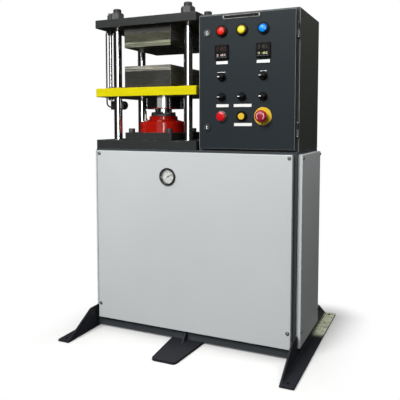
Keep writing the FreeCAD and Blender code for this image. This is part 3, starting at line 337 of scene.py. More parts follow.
def powder_coat(name, colour, rough=0.42, grain=800.0, depth=0.3, shine=0.1, rim=None, dusty=0.14):
    """Baked powder paint: orange peel, faint clouds and dust; rim is a box whose edges get a painted
    highlight, partly rubbed wear.
    """
    f = Finish(name, shine)
    cloud = f.noise(3.0, 2.0)
    near_floor = 1 - f.axes()[2].rise(0.0, 0.2)
    settled = f.facing()[2].rise(0.5, 1.0) * dusty + near_floor * dusty * 0.3
    dust = f.noise(45.0, 4.0, 0.6).rise(0.4, 0.75) * settled
    base = f.tones(cloud.rise(0.2, 0.8), colour, 0.97, 1.02)
    if rim:
        # painted highlight along the rim's edges, as if their rounds caught the light, partly rubbed wear
        edge_highlight_and_wear = (1 - box_edge(f, *rim).rise(0.9 * MM, 2.0 * MM)) * (0.55 + 0.3 * f.noise(25.0, 3.0))
        base = f.mix(edge_highlight_and_wear, base, EDGE_HIGHLIGHT_AND_WEAR)
    return f.done(f.mix(dust, base, DUST), rough + 0.06 * cloud + 0.3 * dust,
                  (f.noise(grain, 2.0), depth, 0.4 * MM))


def scuffed_powder(name, colour):
    """Powder paint of the feet, with a painted pool of light at the rear of the right one and outer faces
    painted paler as if lit.
    """
    f = Finish(name, 0.12)
    x, y, _ = f.axes()
    right, _, up = f.facing()
    cloud = f.noise(3.0, 2.0)
    # painted light: a pale patch where light is taken to fall on the top of the right foot's rear
    painted_light_patch = (x > CABINET_HALF) * up.rise(0.5, 0.9) * y.rise(0.06, 0.12)
    fleck = f.noise(70.0, 4.0, 0.7).rise(0.38, 0.5)
    base = f.tones(cloud.rise(0.2, 0.8), colour, 0.95, 1.05)
    # painted light: faces that look to the right are painted paler, as if lit from that side
    base = f.mix((right > 0.7) * 0.7, base, shade(colour, 1.9))
    return f.done(f.mix(painted_light_patch * (0.55 + 0.45 * fleck), base, PAINTED_LIGHT_PALE), 0.5 + 0.06 * cloud + 0.2 * painted_light_patch,
                  (f.noise(520.0, 2.0), 0.3, 0.4 * MM))


def enamel(name, colour, under, low, high, rough=0.28, wear=1.4, shine=0.14, grime_and_painted_shade=0.0):
    """Brushed enamel on a thick plate, chipped along its edges; grime_and_painted_shade is painted shade that
    darkens the side that faces down.
    """
    f = Finish(name, shine)
    ragged = box_edge(f, low, high) + 3.0 * MM * (f.noise(120.0, 3.0) - 0.5)
    chip = (1 - ragged.rise(0.0, wear * MM)) * f.noise(36.0, 3.0).rise(0.5, 0.6)
    base = f.tones(f.noise((12.0, 60.0, 60.0), 2.0).rise(0.35, 0.65), colour, 0.95, 1.04)
    if grime_and_painted_shade:
        # painted shade on the faces that look down, where shadow falls under the plate
        base = f.mix((f.facing()[2] < -0.5) * grime_and_painted_shade, base, OXIDE)
    return f.done(f.mix(chip, base, under), rough + 0.1 * f.noise(9.0, 3.0) + 0.15 * chip,
                  (f.noise(170.0, 2.0) * 0.6 - chip * 0.8, 0.25, 0.5 * MM), chip * 0.8)


def gloss_enamel(name, colour):
    """Glossy enamel on a turned part, with a few runs and light marks."""
    f = Finish(name, 0.05, {"Coat Weight": 0.6, "Coat Roughness": 0.09})
    cloud = f.noise((18.0, 18.0, 50.0), 3.0)
    mark = f.noise(90.0, 4.0, 0.7).rise(0.66, 0.74)
    base = f.tones(cloud.rise(0.3, 0.7), colour, 0.86, 1.0)
    return f.done(f.mix(mark * 0.5, base, shade(colour, 0.35)), 0.22 + 0.12 * cloud + 0.2 * mark,
                  (f.noise(75.0, 3.0, 0.6), 0.35, 0.8 * MM))


def chrome(name, grey, rough, dark_above=None, dark_round=None):
    """Hard chrome, ground round the bar, with a thin uneven film of oil.

    dark_above is the height where a blackened end starts; dark_round is the middle and the radius outside
    which the nuts on the bar are blackened.
    """
    f = Finish(name)
    film = f.noise((30.0, 30.0, 6.0), 3.0)
    lines = f.noise((3.0, 3.0, 2600.0), 1.0)
    x, y, z = f.axes()
    dark = 0.0
    if dark_above:
        dark = z > dark_above
    if dark_round:
        centre, radius = dark_round
        dark = distance(x - centre.x, y - centre.y) > radius
    base = f.tones(film.rise(0.4, 0.75), (grey, grey, grey), 1.0, 0.86)
    return f.done(f.mix(dark, base, OXIDE), rough + 0.05 * lines + 0.06 * film.rise(0.45, 0.8) + 0.35 * dark,
                  (lines, 0.05, 0.1 * MM), 1.0 - 0.8 * dark)


def lock_metal(name, centre):
    """A chromed lock plug in a darkened rim."""
    f = Finish(name)
    x, _, z = f.axes()
    rim = distance(x - centre.x, z - centre.z).rise(6.2 * MM, 7.2 * MM)
    scratch = f.noise(260.0, 3.0)
    plug = f.mix(scratch, (0.6, 0.61, 0.62), (0.35, 0.35, 0.36))
    return f.done(f.mix(rim, plug, (0.05, 0.052, 0.055)), 0.12 + 0.12 * scratch + 0.2 * rim,
                  (scratch, 0.08, 0.1 * MM), 1.0 - 0.7 * rim)


def ground_steel(name, colour, scale=(6.0, 900.0, 900.0), underside_shade=0.0, streak=0.0):
    """Ground tool steel: fine grinding lines, pale streaks, brown bloom, and painted shade on what faces
    down.
    """
    f = Finish(name, 0.5, {"Metallic": 0.85})
    lines = f.noise(scale, 2.0)
    bloom = f.noise(14.0, 4.0, 0.55).rise(0.45, 0.75)
    base = f.mix(bloom * 0.45, f.tones(lines, colour, 0.8, 1.15), BROWN_BLOOM)
    if streak:
        band = f.noise((7.0, 7.0, 190.0), 3.0, 0.6)
        base = f.mix(band.rise(0.3, 0.42), shade(colour, 0.35), base)
        base = f.mix(band.rise(0.5, 0.62) * streak, base, shade(colour, 2.6))
    # painted shade on the faces that look down
    if underside_shade:
        base = f.mix((f.facing()[2] < -0.5) * underside_shade, base, UNDERSIDE_SHADE_TONE)
    return f.done(base, 0.3 + 0.16 * lines + 0.12 * bloom, (lines, 0.15, 0.2 * MM))


def heated_steel(name, colour, low, high, painted_light_flank, patches):
    """Milled steel that heat has turned dark, with burnt patches, rubbed edges and painted light: a paler
    colour on the right side.
    """
    f = Finish(name, 0.12)
    mill = f.noise((420.0, 420.0, 14.0), 1.0)
    rub = (1 - box_edge(f, low, high).rise(0.0, 1.6 * MM)) * f.noise(55.0, 3.0).rise(0.35, 0.6)
    burnt = f.noise((16.0, 16.0, 240.0), 5.0, 0.7).rise(0.48, 0.62) * patches
    base = f.tones(f.noise(11.0, 5.0, 0.6).rise(0.35, 0.65), colour, 0.75, 1.2)
    base = f.mix(burnt, base, HEAT_TINT)
    # painted light: faces that look to the right take a paler colour, standing in for bounce light
    base = f.mix((f.facing()[0] > 0.5) * 0.8, base, painted_light_flank)
    return f.done(f.mix(rub * 0.7, base, (0.34, 0.33, 0.31)), 0.42 + 0.14 * mill, (mill, 0.12, 0.3 * MM),
                  0.1 + 0.5 * rub)


def black_oxide(name, colour):
    """Blackened steel fasteners, rubbed brown in places."""
    f = Finish(name)
    blot = f.noise(70.0, 4.0, 0.6)
    return f.done(f.mix(blot.rise(0.5, 0.75), colour, (0.1, 0.075, 0.06)), 0.4 + 0.2 * blot,
                  (f.noise(420.0, 2.0), 0.15, 0.2 * MM), 0.1 + 0.2 * blot)


def cast_metal(name, colour, metal=0.0, rough=0.5):
    """A casting: pitted skin under paint or bare, darker where oil and dust have settled."""
    f = Finish(name, 0.4, {"Metallic": metal})
    grime_and_painted_shade = f.noise(17.0, 4.0).rise(0.5, 0.75)
    return f.done(f.tones(grime_and_painted_shade * 0.6, colour, 1.0, 0.4), rough + 0.18 * grime_and_painted_shade,
                  (f.noise(190.0, 4.0, 0.6), 0.45, 0.8 * MM))


def insulation_board(name, colour):
    """Pressed insulation board: thin layers seen at the edge, and pale specks of filler."""
    f = Finish(name, 0.25)
    layer = f.noise((9.0, 9.0, 1900.0), 1.0)
    speck = (1 - f.specks(420.0).rise(0.1, 0.25)) * 0.5
    return f.done(f.mix(speck, f.tones(layer, colour, 0.7, 1.35), shade(colour, 3.0)), 0.75 + 0.15 * layer,
                  (layer, 0.3, 0.3 * MM))


def mottled(name, first, second, cloud, span, dull, relief, share=1.0, shine=0.5, constants=None):
    """A skin that is cloudy between two colours, with a fine grain.

    cloud is a noise and span the values where its clouds start and end; dull is the roughness with what
    the clouds add to it; relief is a noise with the bump's strength and depth.
    """
    f = Finish(name, shine, constants)
    field = f.noise(*cloud)
    grain, strength, depth = relief
    return f.done(f.mix(field.rise(*span) * share, first, second), dull[0] + dull[1] * field,
                  (f.noise(*grain), strength, depth))


def zinc_plate(name, colour, rough=0.3):
    """Bright zinc plating with a faint cloud of yellow."""
    return mottled(name, colour, shade(colour, 0.95, 0.9, 0.74), (95.0, 3.0), (0.35, 0.7), (rough, 0.14),
                   ((500.0, 1.0), 0.08, 0.1 * MM), constants={"Metallic": 1.0})


def bronze(name, colour):
    """Turned bronze, dull where the oil has dried."""
    return mottled(name, colour, shade(colour, 0.4), (60.0, 4.0, 0.6), (0.4, 0.7), (0.26, 0.25),
                   (((4.0, 4.0, 1500.0), 1.0), 0.1, 0.2 * MM), constants={"Metallic": 1.0})


def moulded(name, colour, rough=0.4, shine=0.5, coat=0.0):
    """Moulded plastic with a fine die texture and a little rubbed gloss."""
    return mottled(name, colour, shade(colour, 0.82), (45.0, 4.0, 0.6), (0.35, 0.75), (rough - 0.07, 0.14),
                   ((900.0, 1.0), 0.12, 0.2 * MM), shine=shine,
                   constants={"Coat Weight": coat, "Coat Roughness": 0.12})


def rubber(name, colour):
    """Matt cable sheath or foam with a trace of dust."""
    return mottled(name, colour, (0.35, 0.34, 0.32), (38.0, 4.0, 0.6), (0.5, 0.8), (0.55, 0.2),
                   ((700.0, 1.0), 0.2, 0.2 * MM), share=0.5, shine=0.3)


def printed_film(name, colour, rough=0.35):
    """Label film: a faint mottle, slightly yellowed."""
    return mottled(name, colour, shade(colour, 1.0, 0.97, 0.9), (60.0, 3.0), (0.3, 0.8), (rough, 0.1),
                   ((300.0, 1.0), 0.06, 0.1 * MM), share=0.5)


def switchgear(name):
    """A galvanised plate with rails; on them breakers with dark toggles, dark contactors, beige terminals."""
    f = Finish(name, 0.35)
    _, y, z = f.axes()
    speck = f.noise(60.0, 3.0)
    tone = f.mix(speck, (0.33, 0.34, 0.34), (0.42, 0.43, 0.42))
    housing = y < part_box("electrics")[1].y - GEAR_BACK
    for row, body, band, half in GEAR_ROWS:
        off = abs(z - row)
        tone = f.mix(housing * (off < GEAR_REACH), tone, f.mix(off < half, body, band))
    return f.done(tone, 0.42 + 0.1 * speck, (f.noise(500.0, 1.0), 0.1, 0.2 * MM), 0.7 * (1 - housing))


def glow(name, colour, strength):
    """A lit display segment: brighter in its middle cells than at the ends."""
    f = Finish(name, 0.5, {"Roughness": 0.4, "Emission Strength": strength})
    cells = f.noise(900.0, 1.0)
    f.paint("Base Color", f.tones(cells, colour, 0.4, 0.6))
    f.paint("Emission Color", f.tones(cells.rise(0.2, 0.8), colour, 0.85, 1.0))
    return f.material


def clear_glass(name):
    """Thin clear glass with a few wiping marks."""
    f = Finish(name, 0.5, {"Transmission Weight": 1.0, "IOR": 1.45, "Base Color": WHITE})
    f.paint("Roughness", 0.01 + 0.05 * f.noise((40.0, 40.0, 140.0), 3.0).rise(0.55, 0.85))
    return f.material


def lamp_cap(name, colour, centre):
    """A ribbed lens that glows in its middle, with painted shade on its top and a dark rim; behind the door a
    grey body.
    """
    f = Finish(name, 0.2, {"Coat Weight": 0.2, "Coat Roughness": 0.08, "Emission Strength": 0.2})
    x, y, z = f.axes()
    radius = distance(x - centre.x, z - centre.z)
    lens = (y < DOOR_FACE - LENS_PROUD) * (radius < LENS_R)
    # painted shade: the lens's upper part is darkened, as if in shadow
    painted_shade_top = (z - centre.z).rise(0.3 * LENS_R, 0.9 * LENS_R)
    ribs = f.noise(420.0, 1.0)
    inner = (1 - radius.rise(0.55 * LENS_R, LENS_R)) * (1 - 0.85 * painted_shade_top)
    tone = f.tones(inner * (0.7 + 0.6 * ribs.rise(0.35, 0.65)), colour, 0.2, 1.0)
    body = f.mix(y > DOOR_FACE + 2.0 * MM, (0.004, 0.004, 0.004), (0.3, 0.31, 0.31))
    f.paint("Emission Color", f.mix(lens * inner, (0.0, 0.0, 0.0), colour))
    return f.done(f.mix(lens, body, tone), 0.42 - 0.2 * lens + 0.06 * ribs, (ribs, 0.1, 0.3 * MM))


def linked(name, data):
    """Makes an object of its data and links it to the scene."""
    made = bpy.data.objects.new(name, data)
    bpy.context.scene.collection.objects.link(made)
    return made


def piece(name, shape, place, finish, body, smooth=35.0):
    """Makes a shape a piece of the press, which rides on a body; place is a matrix, or None."""
    mesh = shape.mesh(name, place)
    mesh.materials.append(finish)
    mesh.shade_smooth()
    mesh.set_sharp_from_angle(angle=math.radians(smooth))
    made = linked(name, mesh)
    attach(made, body)


def stage_piece(name, shape, place, finish, unseen=()):
    """Makes a shape a piece of the stage; unseen names the kinds of ray that pass it by."""
    mesh = shape.mesh(name, place)
    mesh.materials.append(finish)
    made = linked(name, mesh)
    for ray in unseen:
        setattr(made, "visible_" + ray, False)


def finish_nodes(material, *nodes):
    """Gives a material to the press's own parts."""
    for name in nodes:
        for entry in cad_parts[name].material_slots:
            entry.material = material


def on_front(x, y, z):
    """Places local z out of a front face: local x is right and local y is up."""
    return Matrix.Translation((x, y, z)) @ Matrix.Rotation(math.radians(90), 4, "X")


def turn(steps):
    """Angles round a full turn."""
    return [2 * math.pi * k / steps for k in range(steps)]


def polar(radius, angle, x=0.0, y=0.0):
    """The point at a radius and an angle round a middle."""
    return x + radius * math.cos(angle), y + radius * math.sin(angle)


def rounded(x0, x1, y0, y1, radius, steps=5):
    """The outline of a rectangle with round corners."""
    middles = ((x1 - radius, y1 - radius), (x0 + radius, y1 - radius),
               (x0 + radius, y0 + radius), (x1 - radius, y0 + radius))
    return [polar(radius, math.radians(90.0 * (corner + k / steps)), *at)
            for corner, at in enumerate(middles) for k in range(steps + 1)]


class Shape:
    """Gathers the faces of one piece. Local x and y lie on a face of the press and z stands out of it.

    Its forms give the shape back, so that a piece of one form is made in one line.
    """

    def __init__(self):
        self.bm = bmesh.new()

    def mesh(self, name, matrix=None):
        """Finishes the mesh, placed by a matrix."""
        bmesh.ops.remove_doubles(self.bm, verts=self.bm.verts, dist=1e-6)
        bmesh.ops.recalc_face_normals(self.bm, faces=self.bm.faces)
        made = bpy.data.meshes.new(name)
        self.bm.to_mesh(made)
        self.bm.free()
        if matrix:
            made.transform(matrix)
        return made

    def lathe(self, profile, steps=64, x=0.0, y=0.0):
        """Turns a closed profile of (radius, height) round an upright axis."""
        rings = [[self.bm.verts.new((*polar(radius, angle, x, y), height))
                  for angle in turn(steps if radius else 1)] for radius, height in profile]
        for a, b in zip(rings, rings[1:] + rings[:1]):
            for k in range(steps):
                corners = [a[k % len(a)], a[(k + 1) % len(a)], b[(k + 1) % len(b)], b[k % len(b)]]
                unique = list(dict.fromkeys(corners))
                if len(unique) > 2:
                    self.bm.faces.new(unique)
        return self

    def sweep(self, rings, closed=False):
        """Joins rings of points, each ring in turn with the next; an open sweep gets end faces."""
        made = [[self.bm.verts.new(point) for point in ring] for ring in rings]
        pairs = list(zip(made, made[1:]))
        if closed:
            pairs.append((made[-1], made[0]))
        for a, b in pairs:
            for k in range(len(a)):
                self.bm.faces.new((a[k], a[(k + 1) % len(a)], b[(k + 1) % len(b)], b[k]))
        if not closed:
            self.bm.faces.new(list(reversed(made[0])))
            self.bm.faces.new(made[-1])
        return self

    def slab(self, outline, z0, z1, ease=0.0):
        """A plate over a closed outline, with its upper rim chamfered by ease."""
        rings = [[(x, y, z) for x, y in outline] for z in (z0, z1 - ease)]
        if ease:
            cx, cy = (sum(part) / len(outline) for part in zip(*outline))
            top = []
            for x, y in outline:
                share = max(0.0, 1 - ease / math.hypot(x - cx, y - cy))
                top.append((cx + (x - cx) * share, cy + (y - cy) * share, z1))
            rings.append(top)
        return self.sweep(rings)

    def frame(self, x0, x1, y0, y1, width, z0, z1):
        """A flat rectangular frame."""
        rings = []
        for x, y, right, up in ((x0, y0, 1, 1), (x1, y0, -1, 1), (x1, y1, -1, -1), (x0, y1, 1, -1)):
            inner = (x + right * width, y + up * width)
            rings.append([(x, y, z0), (*inner, z0), (*inner, z1), (x, y, z1)])
        return self.sweep(rings, closed=True)

    def arc(self, start, sweep, steps, section):
        """A bar bent round the axis; section gives its corners as (radius, height) at a share of the way."""
        rings = []
        for k in range(steps + 1):
            angle = start + sweep * k / steps
            rings.append([(*polar(radius, angle), z) for radius, z in section(k / steps)])
        return self.sweep(rings)

    def figures(self, text, height, x, y, z, thick):
        """Plain figures, centred on a point, raised by thick."""
        curve = bpy.data.curves.new("figures", "FONT")
        curve.body = text
        curve.size = height
        curve.extrude = thick / 2
        curve.align_x = "CENTER"
        curve.align_y = "CENTER"
        holder = linked("figures", curve)
        bpy.context.view_layer.update()
        flat = bpy.data.meshes.new_from_object(holder.evaluated_get(bpy.context.evaluated_depsgraph_get()))
        flat.transform(Matrix.Translation((x, y, z + thick / 2)))
        self.bm.from_mesh(flat)
        bpy.data.objects.remove(holder)
        bpy.data.curves.remove(curve)
        bpy.data.meshes.remove(flat)


def number(name, description, default, unit="NONE"):
    """A number that the user can change; an angle's default is in degrees."""
    if unit == "ROTATION":
        default = math.radians(default)
    return FloatProperty(name=name, description=description, default=default, unit=unit, precision=4)


def place(name, description, default):
    """A place that the user can change."""
    return FloatVectorProperty(name=name, description=description, default=default, size=3,
                               subtype="TRANSLATION", unit="LENGTH")


def colour(name, description, default):
    """A colour that the user can change."""
    return FloatVectorProperty(name=name, description=description, default=default, size=3,
                               subtype="COLOR", min=0.0, max=1.0)


class StageSettings(bpy.types.PropertyGroup):
    """Camera, light and floor."""

    camera_place: place("Camera place", "Where the camera stands", (0.8124, -1.8446, 0.7924))
    camera_turn: number("Camera turn", "How far the camera looks to the left of the back", 24.38, "ROTATION")
    camera_dip: number("Camera dip", "How far the camera looks down", 4.0, "ROTATION")
    lens: number("Lens", "Focal length in millimetres", 47.9)
    shift: number("Shift", "Upward shift of the frame, as a share of its side", -0.1)
    key_place: place("Key place", "Where the large soft light hangs", (-0.7, -3.2, 3.0))
    key_power: number("Key light", "Power of the large soft light", 182.0, "POWER")
    side_place: place("Side place", "Where the small light on the right hangs", (1.0, -0.05, 1.65))
    side_power: number("Side light", "Power of the small light on the right", 6.0, "POWER")
    strip_place: place("Strip place", "Where the tall narrow light stands", (1.65, -3.3, 0.9))
    strip_power: number("Strip light", "Power of the tall narrow light", 40.0, "POWER")
    ambient: number("Ambient", "Brightness of the room", 0.35)
    screen_start: number("Screen start", "Where the screen starts, round from the right", -50.0, "ROTATION")
    screen_end: number("Screen end", "Where the screen ends, round from the right", 262.0, "ROTATION")
    floor_colour: colour("Floor", "Colour of the floor", (0.8, 0.8, 0.79))


class PaintSettings(bpy.types.PropertyGroup):
    """Colours of the paints."""

    panel: colour("Cabinet panels", "Pale silver grey powder paint", (0.575, 0.6, 0.6))
    slate: colour("Frame", "Dark slate powder paint of the frame", (0.045, 0.052, 0.058))
    feet: colour("Feet", "Dark powder paint of the feet", (0.02, 0.021, 0.026))
    plate: colour("Press plates", "Dark enamel of the crown and base", (0.028, 0.03, 0.03))
    # painted light: the shell is painted paler than the door, to stand in for light on the box's shaded right
    # side
    shell: colour("Control box", "Dark slate powder paint of the control box", (0.052, 0.056, 0.048))
    door: colour("Door", "Dark slate powder paint of the door", (0.018, 0.024, 0.028))
    bolster: colour("Bolster", "Yellow enamel of the moving plate", (0.66, 0.58, 0.001))
    cylinder: colour("Cylinder", "Red enamel of the cylinder", (0.4, 0.007, 0.002))
    chip: colour("Bare metal", "Steel that shows through chipped paint", (0.25, 0.24, 0.23))


class ControlSettings(bpy.types.PropertyGroup):
    """The control panel's trim."""

    red_digits: StringProperty(name="Left display", description="Figures of the upper and lower row",
                               default="0180 0180")
    green_digits: StringProperty(name="Right display", description="Figures of the upper and lower row",
                                 default="0165 0180")
    label_thick: number("Label thickness", "How proud the labels stand", 0.3 * MM, "LENGTH")
    pointer_width: number("Pointer width", "Width of the white line on a selector", 2.8 * MM, "LENGTH")
    label: colour("Label", "Colour of the bare labels", (0.85, 0.86, 0.84))


class GaugeSettings(bpy.types.PropertyGroup):
    """The pressure gauge's dial."""

    full: IntProperty(name="Full scale", description="The last figure on the dial", default=25)
    step: IntProperty(name="Figure step", description="The step between figures", default=5)
    sweep: number("Sweep", "The angle from the first mark to the last", 270.0, "ROTATION")


class TrimSettings(bpy.types.PropertyGroup):
    """Threads and welds."""

    stud_pitch: number("Stud pitch", "Pitch of the thread on the column studs", 2.0 * MM, "LENGTH")
    rod_pitch: number("Rod pitch", "Pitch of the thread on the stroke rod", 1.25 * MM, "LENGTH")
    weld: number("Weld", "Leg of the weld beads", 4.0 * MM, "LENGTH")


SETTINGS = {"press_stage": StageSettings, "press_paint": PaintSettings, "press_controls": ControlSettings,
            "press_gauge": GaugeSettings, "press_trim": TrimSettings}


class PRESS_OT_stage(bpy.types.Operator):
    """Sets up the camera, the soft lights, the white room and the pale floor"""

    bl_idname = "press.stage"
    bl_label = "Stage"

    def execute(self, context):
        settings = context.scene.press_stage
        scene = context.scene
        scene.view_settings.view_transform = "Standard"
        camera = bpy.data.cameras.new("camera")
        camera.lens = settings.lens
        camera.sensor_width = 36.0
        camera.shift_y = settings.shift
        holder = linked("camera", camera)
        holder.location = settings.camera_place
        holder.rotation_euler = (math.radians(90) - settings.camera_dip, 0.0, settings.camera_turn)
        scene.camera = holder
        for name, target, width, height in LIGHTS:
            soft_light(name, getattr(settings, name + "_place"), target, width, height,
                       getattr(settings, name + "_power"))
        bpy.data.objects["strip"].visible_diffuse = False  # only mirror rays see it, as lines on the columns
        white_room(settings.ambient)
        pale_floor(settings.floor_colour)
        dark_screen(settings.screen_start, settings.screen_end)
        return {"FINISHED"}


def soft_light(name, at, target, width, height, power):
    """A rectangular light that points at a target."""
    data = bpy.data.lights.new(name, "AREA")
    data.shape = "RECTANGLE"
    data.size = width
    data.size_y = height
    data.energy = power
    holder = linked(name, data)
    holder.location = at
    holder.rotation_euler = (Vector(target) - Vector(at)).to_track_quat("-Z", "Y").to_euler()
    holder.visible_camera = False


def white_room(ambient):
    """The world: white behind the press and in reflections, and a plain soft level as light."""
    world = bpy.data.worlds.new("room")
    room = Network(world)
    bpy.context.scene.world = world
    x, y, z = room.axes(room.place("Generated"))
    soft = ambient * (0.62 + 0.38 * z - 0.4 * x - 0.24 * y)
    seen = room.seen()
    background = room.tree.nodes["Background"]
    room.feed(background.inputs["Color"], WHITE)
    room.feed(background.inputs["Strength"], seen + (1 - seen) * soft)


def pale_floor(tone):
    """A round pale floor that fades into the white room, and keeps the shadow of the press."""
    disc = [(0, 0), (FLOOR_R / 2, 0), (FLOOR_R, 0), (FLOOR_R, -FLOOR_T), (0, -FLOOR_T)]
    f = Finish("floor", 0.0, {"Roughness": 0.9})
    x, y, _ = f.axes()
    reach = distance((abs(x) - FLOOR_KEEP[0]).most(0.0), (abs(y) - FLOOR_KEEP[1]).most(0.0))
    f.paint("Base Color", f.tones(f.noise(3.0, 4.0).rise(0.3, 0.7), tone, 1.0, 1.02))
    white = f.node("ShaderNodeEmission", None, {"Color": WHITE, "Strength": 1.0})
    lift = f.node("ShaderNodeEmission", None, {"Color": WHITE, "Strength": FLOOR_LIFT})
    lit = f.node("ShaderNodeAddShader", None, {0: f.shader.outputs[0], 1: lift.outputs[0]})
    dull = f.node("ShaderNodeBsdfDiffuse", None, {"Color": FLOOR_BOUNCE})
    seen = f.seen(glossy=False)
    near = f.node("ShaderNodeMixShader", None, {0: seen, 1: dull.outputs[0], 2: lit.outputs[0]})
    whole = f.node("ShaderNodeMixShader", None, {0: seen * reach.rise(*FLOOR_FADE), 1: near.outputs[0],
                                                 2: white.outputs[0]})
    f.feed(f.tree.nodes["Material Output"].inputs["Surface"], whole.outputs[0])
    stage_piece("floor", Shape().lathe(disc, 96), Matrix.Translation((0, 0, -0.5 * MM)), f.material)


def dark_screen(start, end):
    """A dark curved screen that only mirror rays see, so that bright metal has something to show."""
    corners = ((SCREEN_R, SCREEN_FOOT), (SCREEN_R + SCREEN_T, SCREEN_FOOT),
               (SCREEN_R + SCREEN_T, SCREEN_TOP), (SCREEN_R, SCREEN_TOP))
    f = Finish("dark_screen", 0.0, {"Roughness": 1.0})
    f.paint("Base Color", f.tones(f.noise(2.0), SCREEN_TONE, 1.0, 1.4))
    stage_piece("dark_screen", Shape().arc(start, end - start, 40, lambda share: corners), None, f.material,
                ("camera", "diffuse", "shadow", "transmission"))


class PRESS_OT_cabinet(bpy.types.Operator):
    """Paints the cabinet, its feet and the control box"""

    bl_idname = "press.cabinet"
    bl_label = "Cabinet and control box"

    def execute(self, context):
        paint = context.scene.press_paint
        finish_nodes(powder_coat("silver_powder", paint.panel, grain=700.0, depth=0.18, shine=0.4),
                     "front_panel", "rear_panel", "side_panels")
        finish_nodes(powder_coat("slate_powder", paint.slate, rough=0.46, grain=520.0, shine=0.12,
                                 dusty=0.05), "cabinet_frame", "deck_plates")
        finish_nodes(scuffed_powder("feet_powder", paint.feet), "feet")
        low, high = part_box("box_shell")
        shell = (Vector((low.x, BOX_FRONT, low.z)), Vector((BOX_RIGHT, high.y, high.z)))
        # the shell's paler colour is painted light on its shaded right side
        finish_nodes(powder_coat("box_powder", paint.shell, rim=shell, dusty=0.05), "box_shell")
        leaf = (DOOR_LOW, Vector((DOOR_RIGHT, DOOR_HIGH.y, DOOR_HIGH.z)))
        finish_nodes(powder_coat("door_powder", paint.door, rim=leaf), "door")
        finish_nodes(zinc_plate("screw_zinc", (0.2, 0.205, 0.21), 0.36), "panel_screws")
        finish_nodes(chrome("pin_chrome", 0.72, 0.14), "hinge_pins")
        return {"FINISHED"}


class PRESS_OT_press(bpy.types.Operator):
    """Finishes the plates, columns, platens and the cylinder"""

    bl_idname = "press.press"
    bl_label = "Press"

    def execute(self, context):
        paint = context.scene.press_paint
        for name in ("base_plate", "crown_plate", "cylinder_sole"):
            finish_nodes(enamel("enamel_" + name, paint.plate, paint.chip, *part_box(name), rough=0.36), name)
        # the bolster's underside gets painted shade
        finish_nodes(enamel("enamel_yellow", paint.bolster, paint.chip, *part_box("bolster_plate"),
                            wear=1.0, shine=0.12, grime_and_painted_shade=0.9), "bolster_plate")
        finish_nodes(gloss_enamel("enamel_red", paint.cylinder), "cylinder_body")
        finish_nodes(chrome("column_chrome", 0.86, 0.06, dark_above=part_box("crown_plate")[1].z), "columns")
        finish_nodes(chrome("ram_chrome", 0.86, 0.06), "ram")
        finish_nodes(chrome("head_chrome", 0.4, 0.08), "ram_head")
        finish_nodes(chrome("rod_chrome", 0.5, 0.08, dark_round=(middle("stroke_rod"), ROD_R + 0.2 * MM)),
                     "stroke_rod")
        # the platens get painted shade on their undersides
        for name, steel in (("upper_platen", (0.15, 0.155, 0.11)), ("lower_platen", (0.2, 0.2, 0.17))):
            finish_nodes(ground_steel("ground_" + name, steel, underside_shade=0.95, streak=0.8), name)
        # the third colour is painted light for each block's right side
        for name, steel, painted_light_flank, patches in (
                ("upper_spacer", (0.062, 0.062, 0.06), (0.17, 0.165, 0.17), 0.1),
                ("upper_heater_block", (0.046, 0.047, 0.034), (0.17, 0.165, 0.17), 0.4),
                ("lower_heater_block", (0.031, 0.032, 0.03), (0.1, 0.1, 0.09), 0.12)):
            finish_nodes(heated_steel("heated_" + name, steel, *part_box(name), painted_light_flank, patches), name)
        finish_nodes(insulation_board("insulation", (0.035, 0.027, 0.022)), "lower_insulation")
        finish_nodes(black_oxide("nut_oxide", (0.035, 0.035, 0.037)), "press_fasteners", "gland_ring",
                     "rod_bush")
        finish_nodes(bronze("bush_bronze", (0.3, 0.2, 0.09)), "guide_bushes")
        finish_nodes(zinc_plate("heater_zinc", (0.5, 0.49, 0.46)), "heaters_upper", "heaters_lower")
        finish_nodes(moulded("switch_black", (0.02, 0.02, 0.022), 0.45), "limit_switch", "cable_fittings")
        finish_nodes(rubber("cable_sheath", (0.03, 0.03, 0.032)), "switch_cable")
        return {"FINISHED"}


class PRESS_OT_controls(bpy.types.Operator):
    """Finishes the lamps, controllers, switches, buttons and locks"""

    bl_idname = "press.controls"
    bl_label = "Controls"

    def execute(self, context):
        finish_nodes(moulded("control_black", (0.006, 0.006, 0.007), shine=0.12),
                     "controllers", "switch_bodies", "estop_stem", *SELECTORS)
        for name, lens in (("lamp_red", (0.8, 0.02, 0.01)), ("lamp_yellow", (0.9, 0.7, 0.03)),
                           ("lamp_blue", (0.0, 0.27, 0.95))):
            finish_nodes(lamp_cap("lens_" + name, lens, control_centre(name)), name)
        finish_nodes(moulded("button_red", (0.6, 0.004, 0.01), 0.25, shine=0.3, coat=0.2), "red_button")
        finish_nodes(moulded("stop_red", (0.36, 0.01, 0.028), 0.28, shine=0.3, coat=0.2), "estop_head")
        finish_nodes(moulded("button_yellow", (0.76, 0.5, 0.03), 0.28, shine=0.3, coat=0.1),
                     "yellow_button", "estop_disc")
        for name in ("lock_top", "lock_bottom"):
            finish_nodes(lock_metal("metal_" + name, control_centre(name)), name)
        return {"FINISHED"}


class PRESS_OT_inside(bpy.types.Operator):
    """Finishes what stands inside the cabinet and the control box"""

    bl_idname = "press.inside"
    bl_label = "Inside parts"

    def execute(self, context):
        finish_nodes(cast_metal("tank_enamel", (0.1, 0.14, 0.18), rough=0.35), "oil_tank")
        finish_nodes(cast_metal("motor_enamel", (0.06, 0.11, 0.16)), "motor_body")
        finish_nodes(cast_metal("pump_casting", (0.5, 0.5, 0.5), metal=0.9, rough=0.4), "pump_body",
                     "valve_block")
        finish_nodes(zinc_plate("pipe_zinc", (0.55, 0.54, 0.5)), "oil_pipes")
        finish_nodes(ground_steel("rotor_steel", (0.3, 0.3, 0.3), (900.0, 9.0, 9.0)), "motor_rotor")
        finish_nodes(switchgear("switchgear_row"), "electrics")
        return {"FINISHED"}


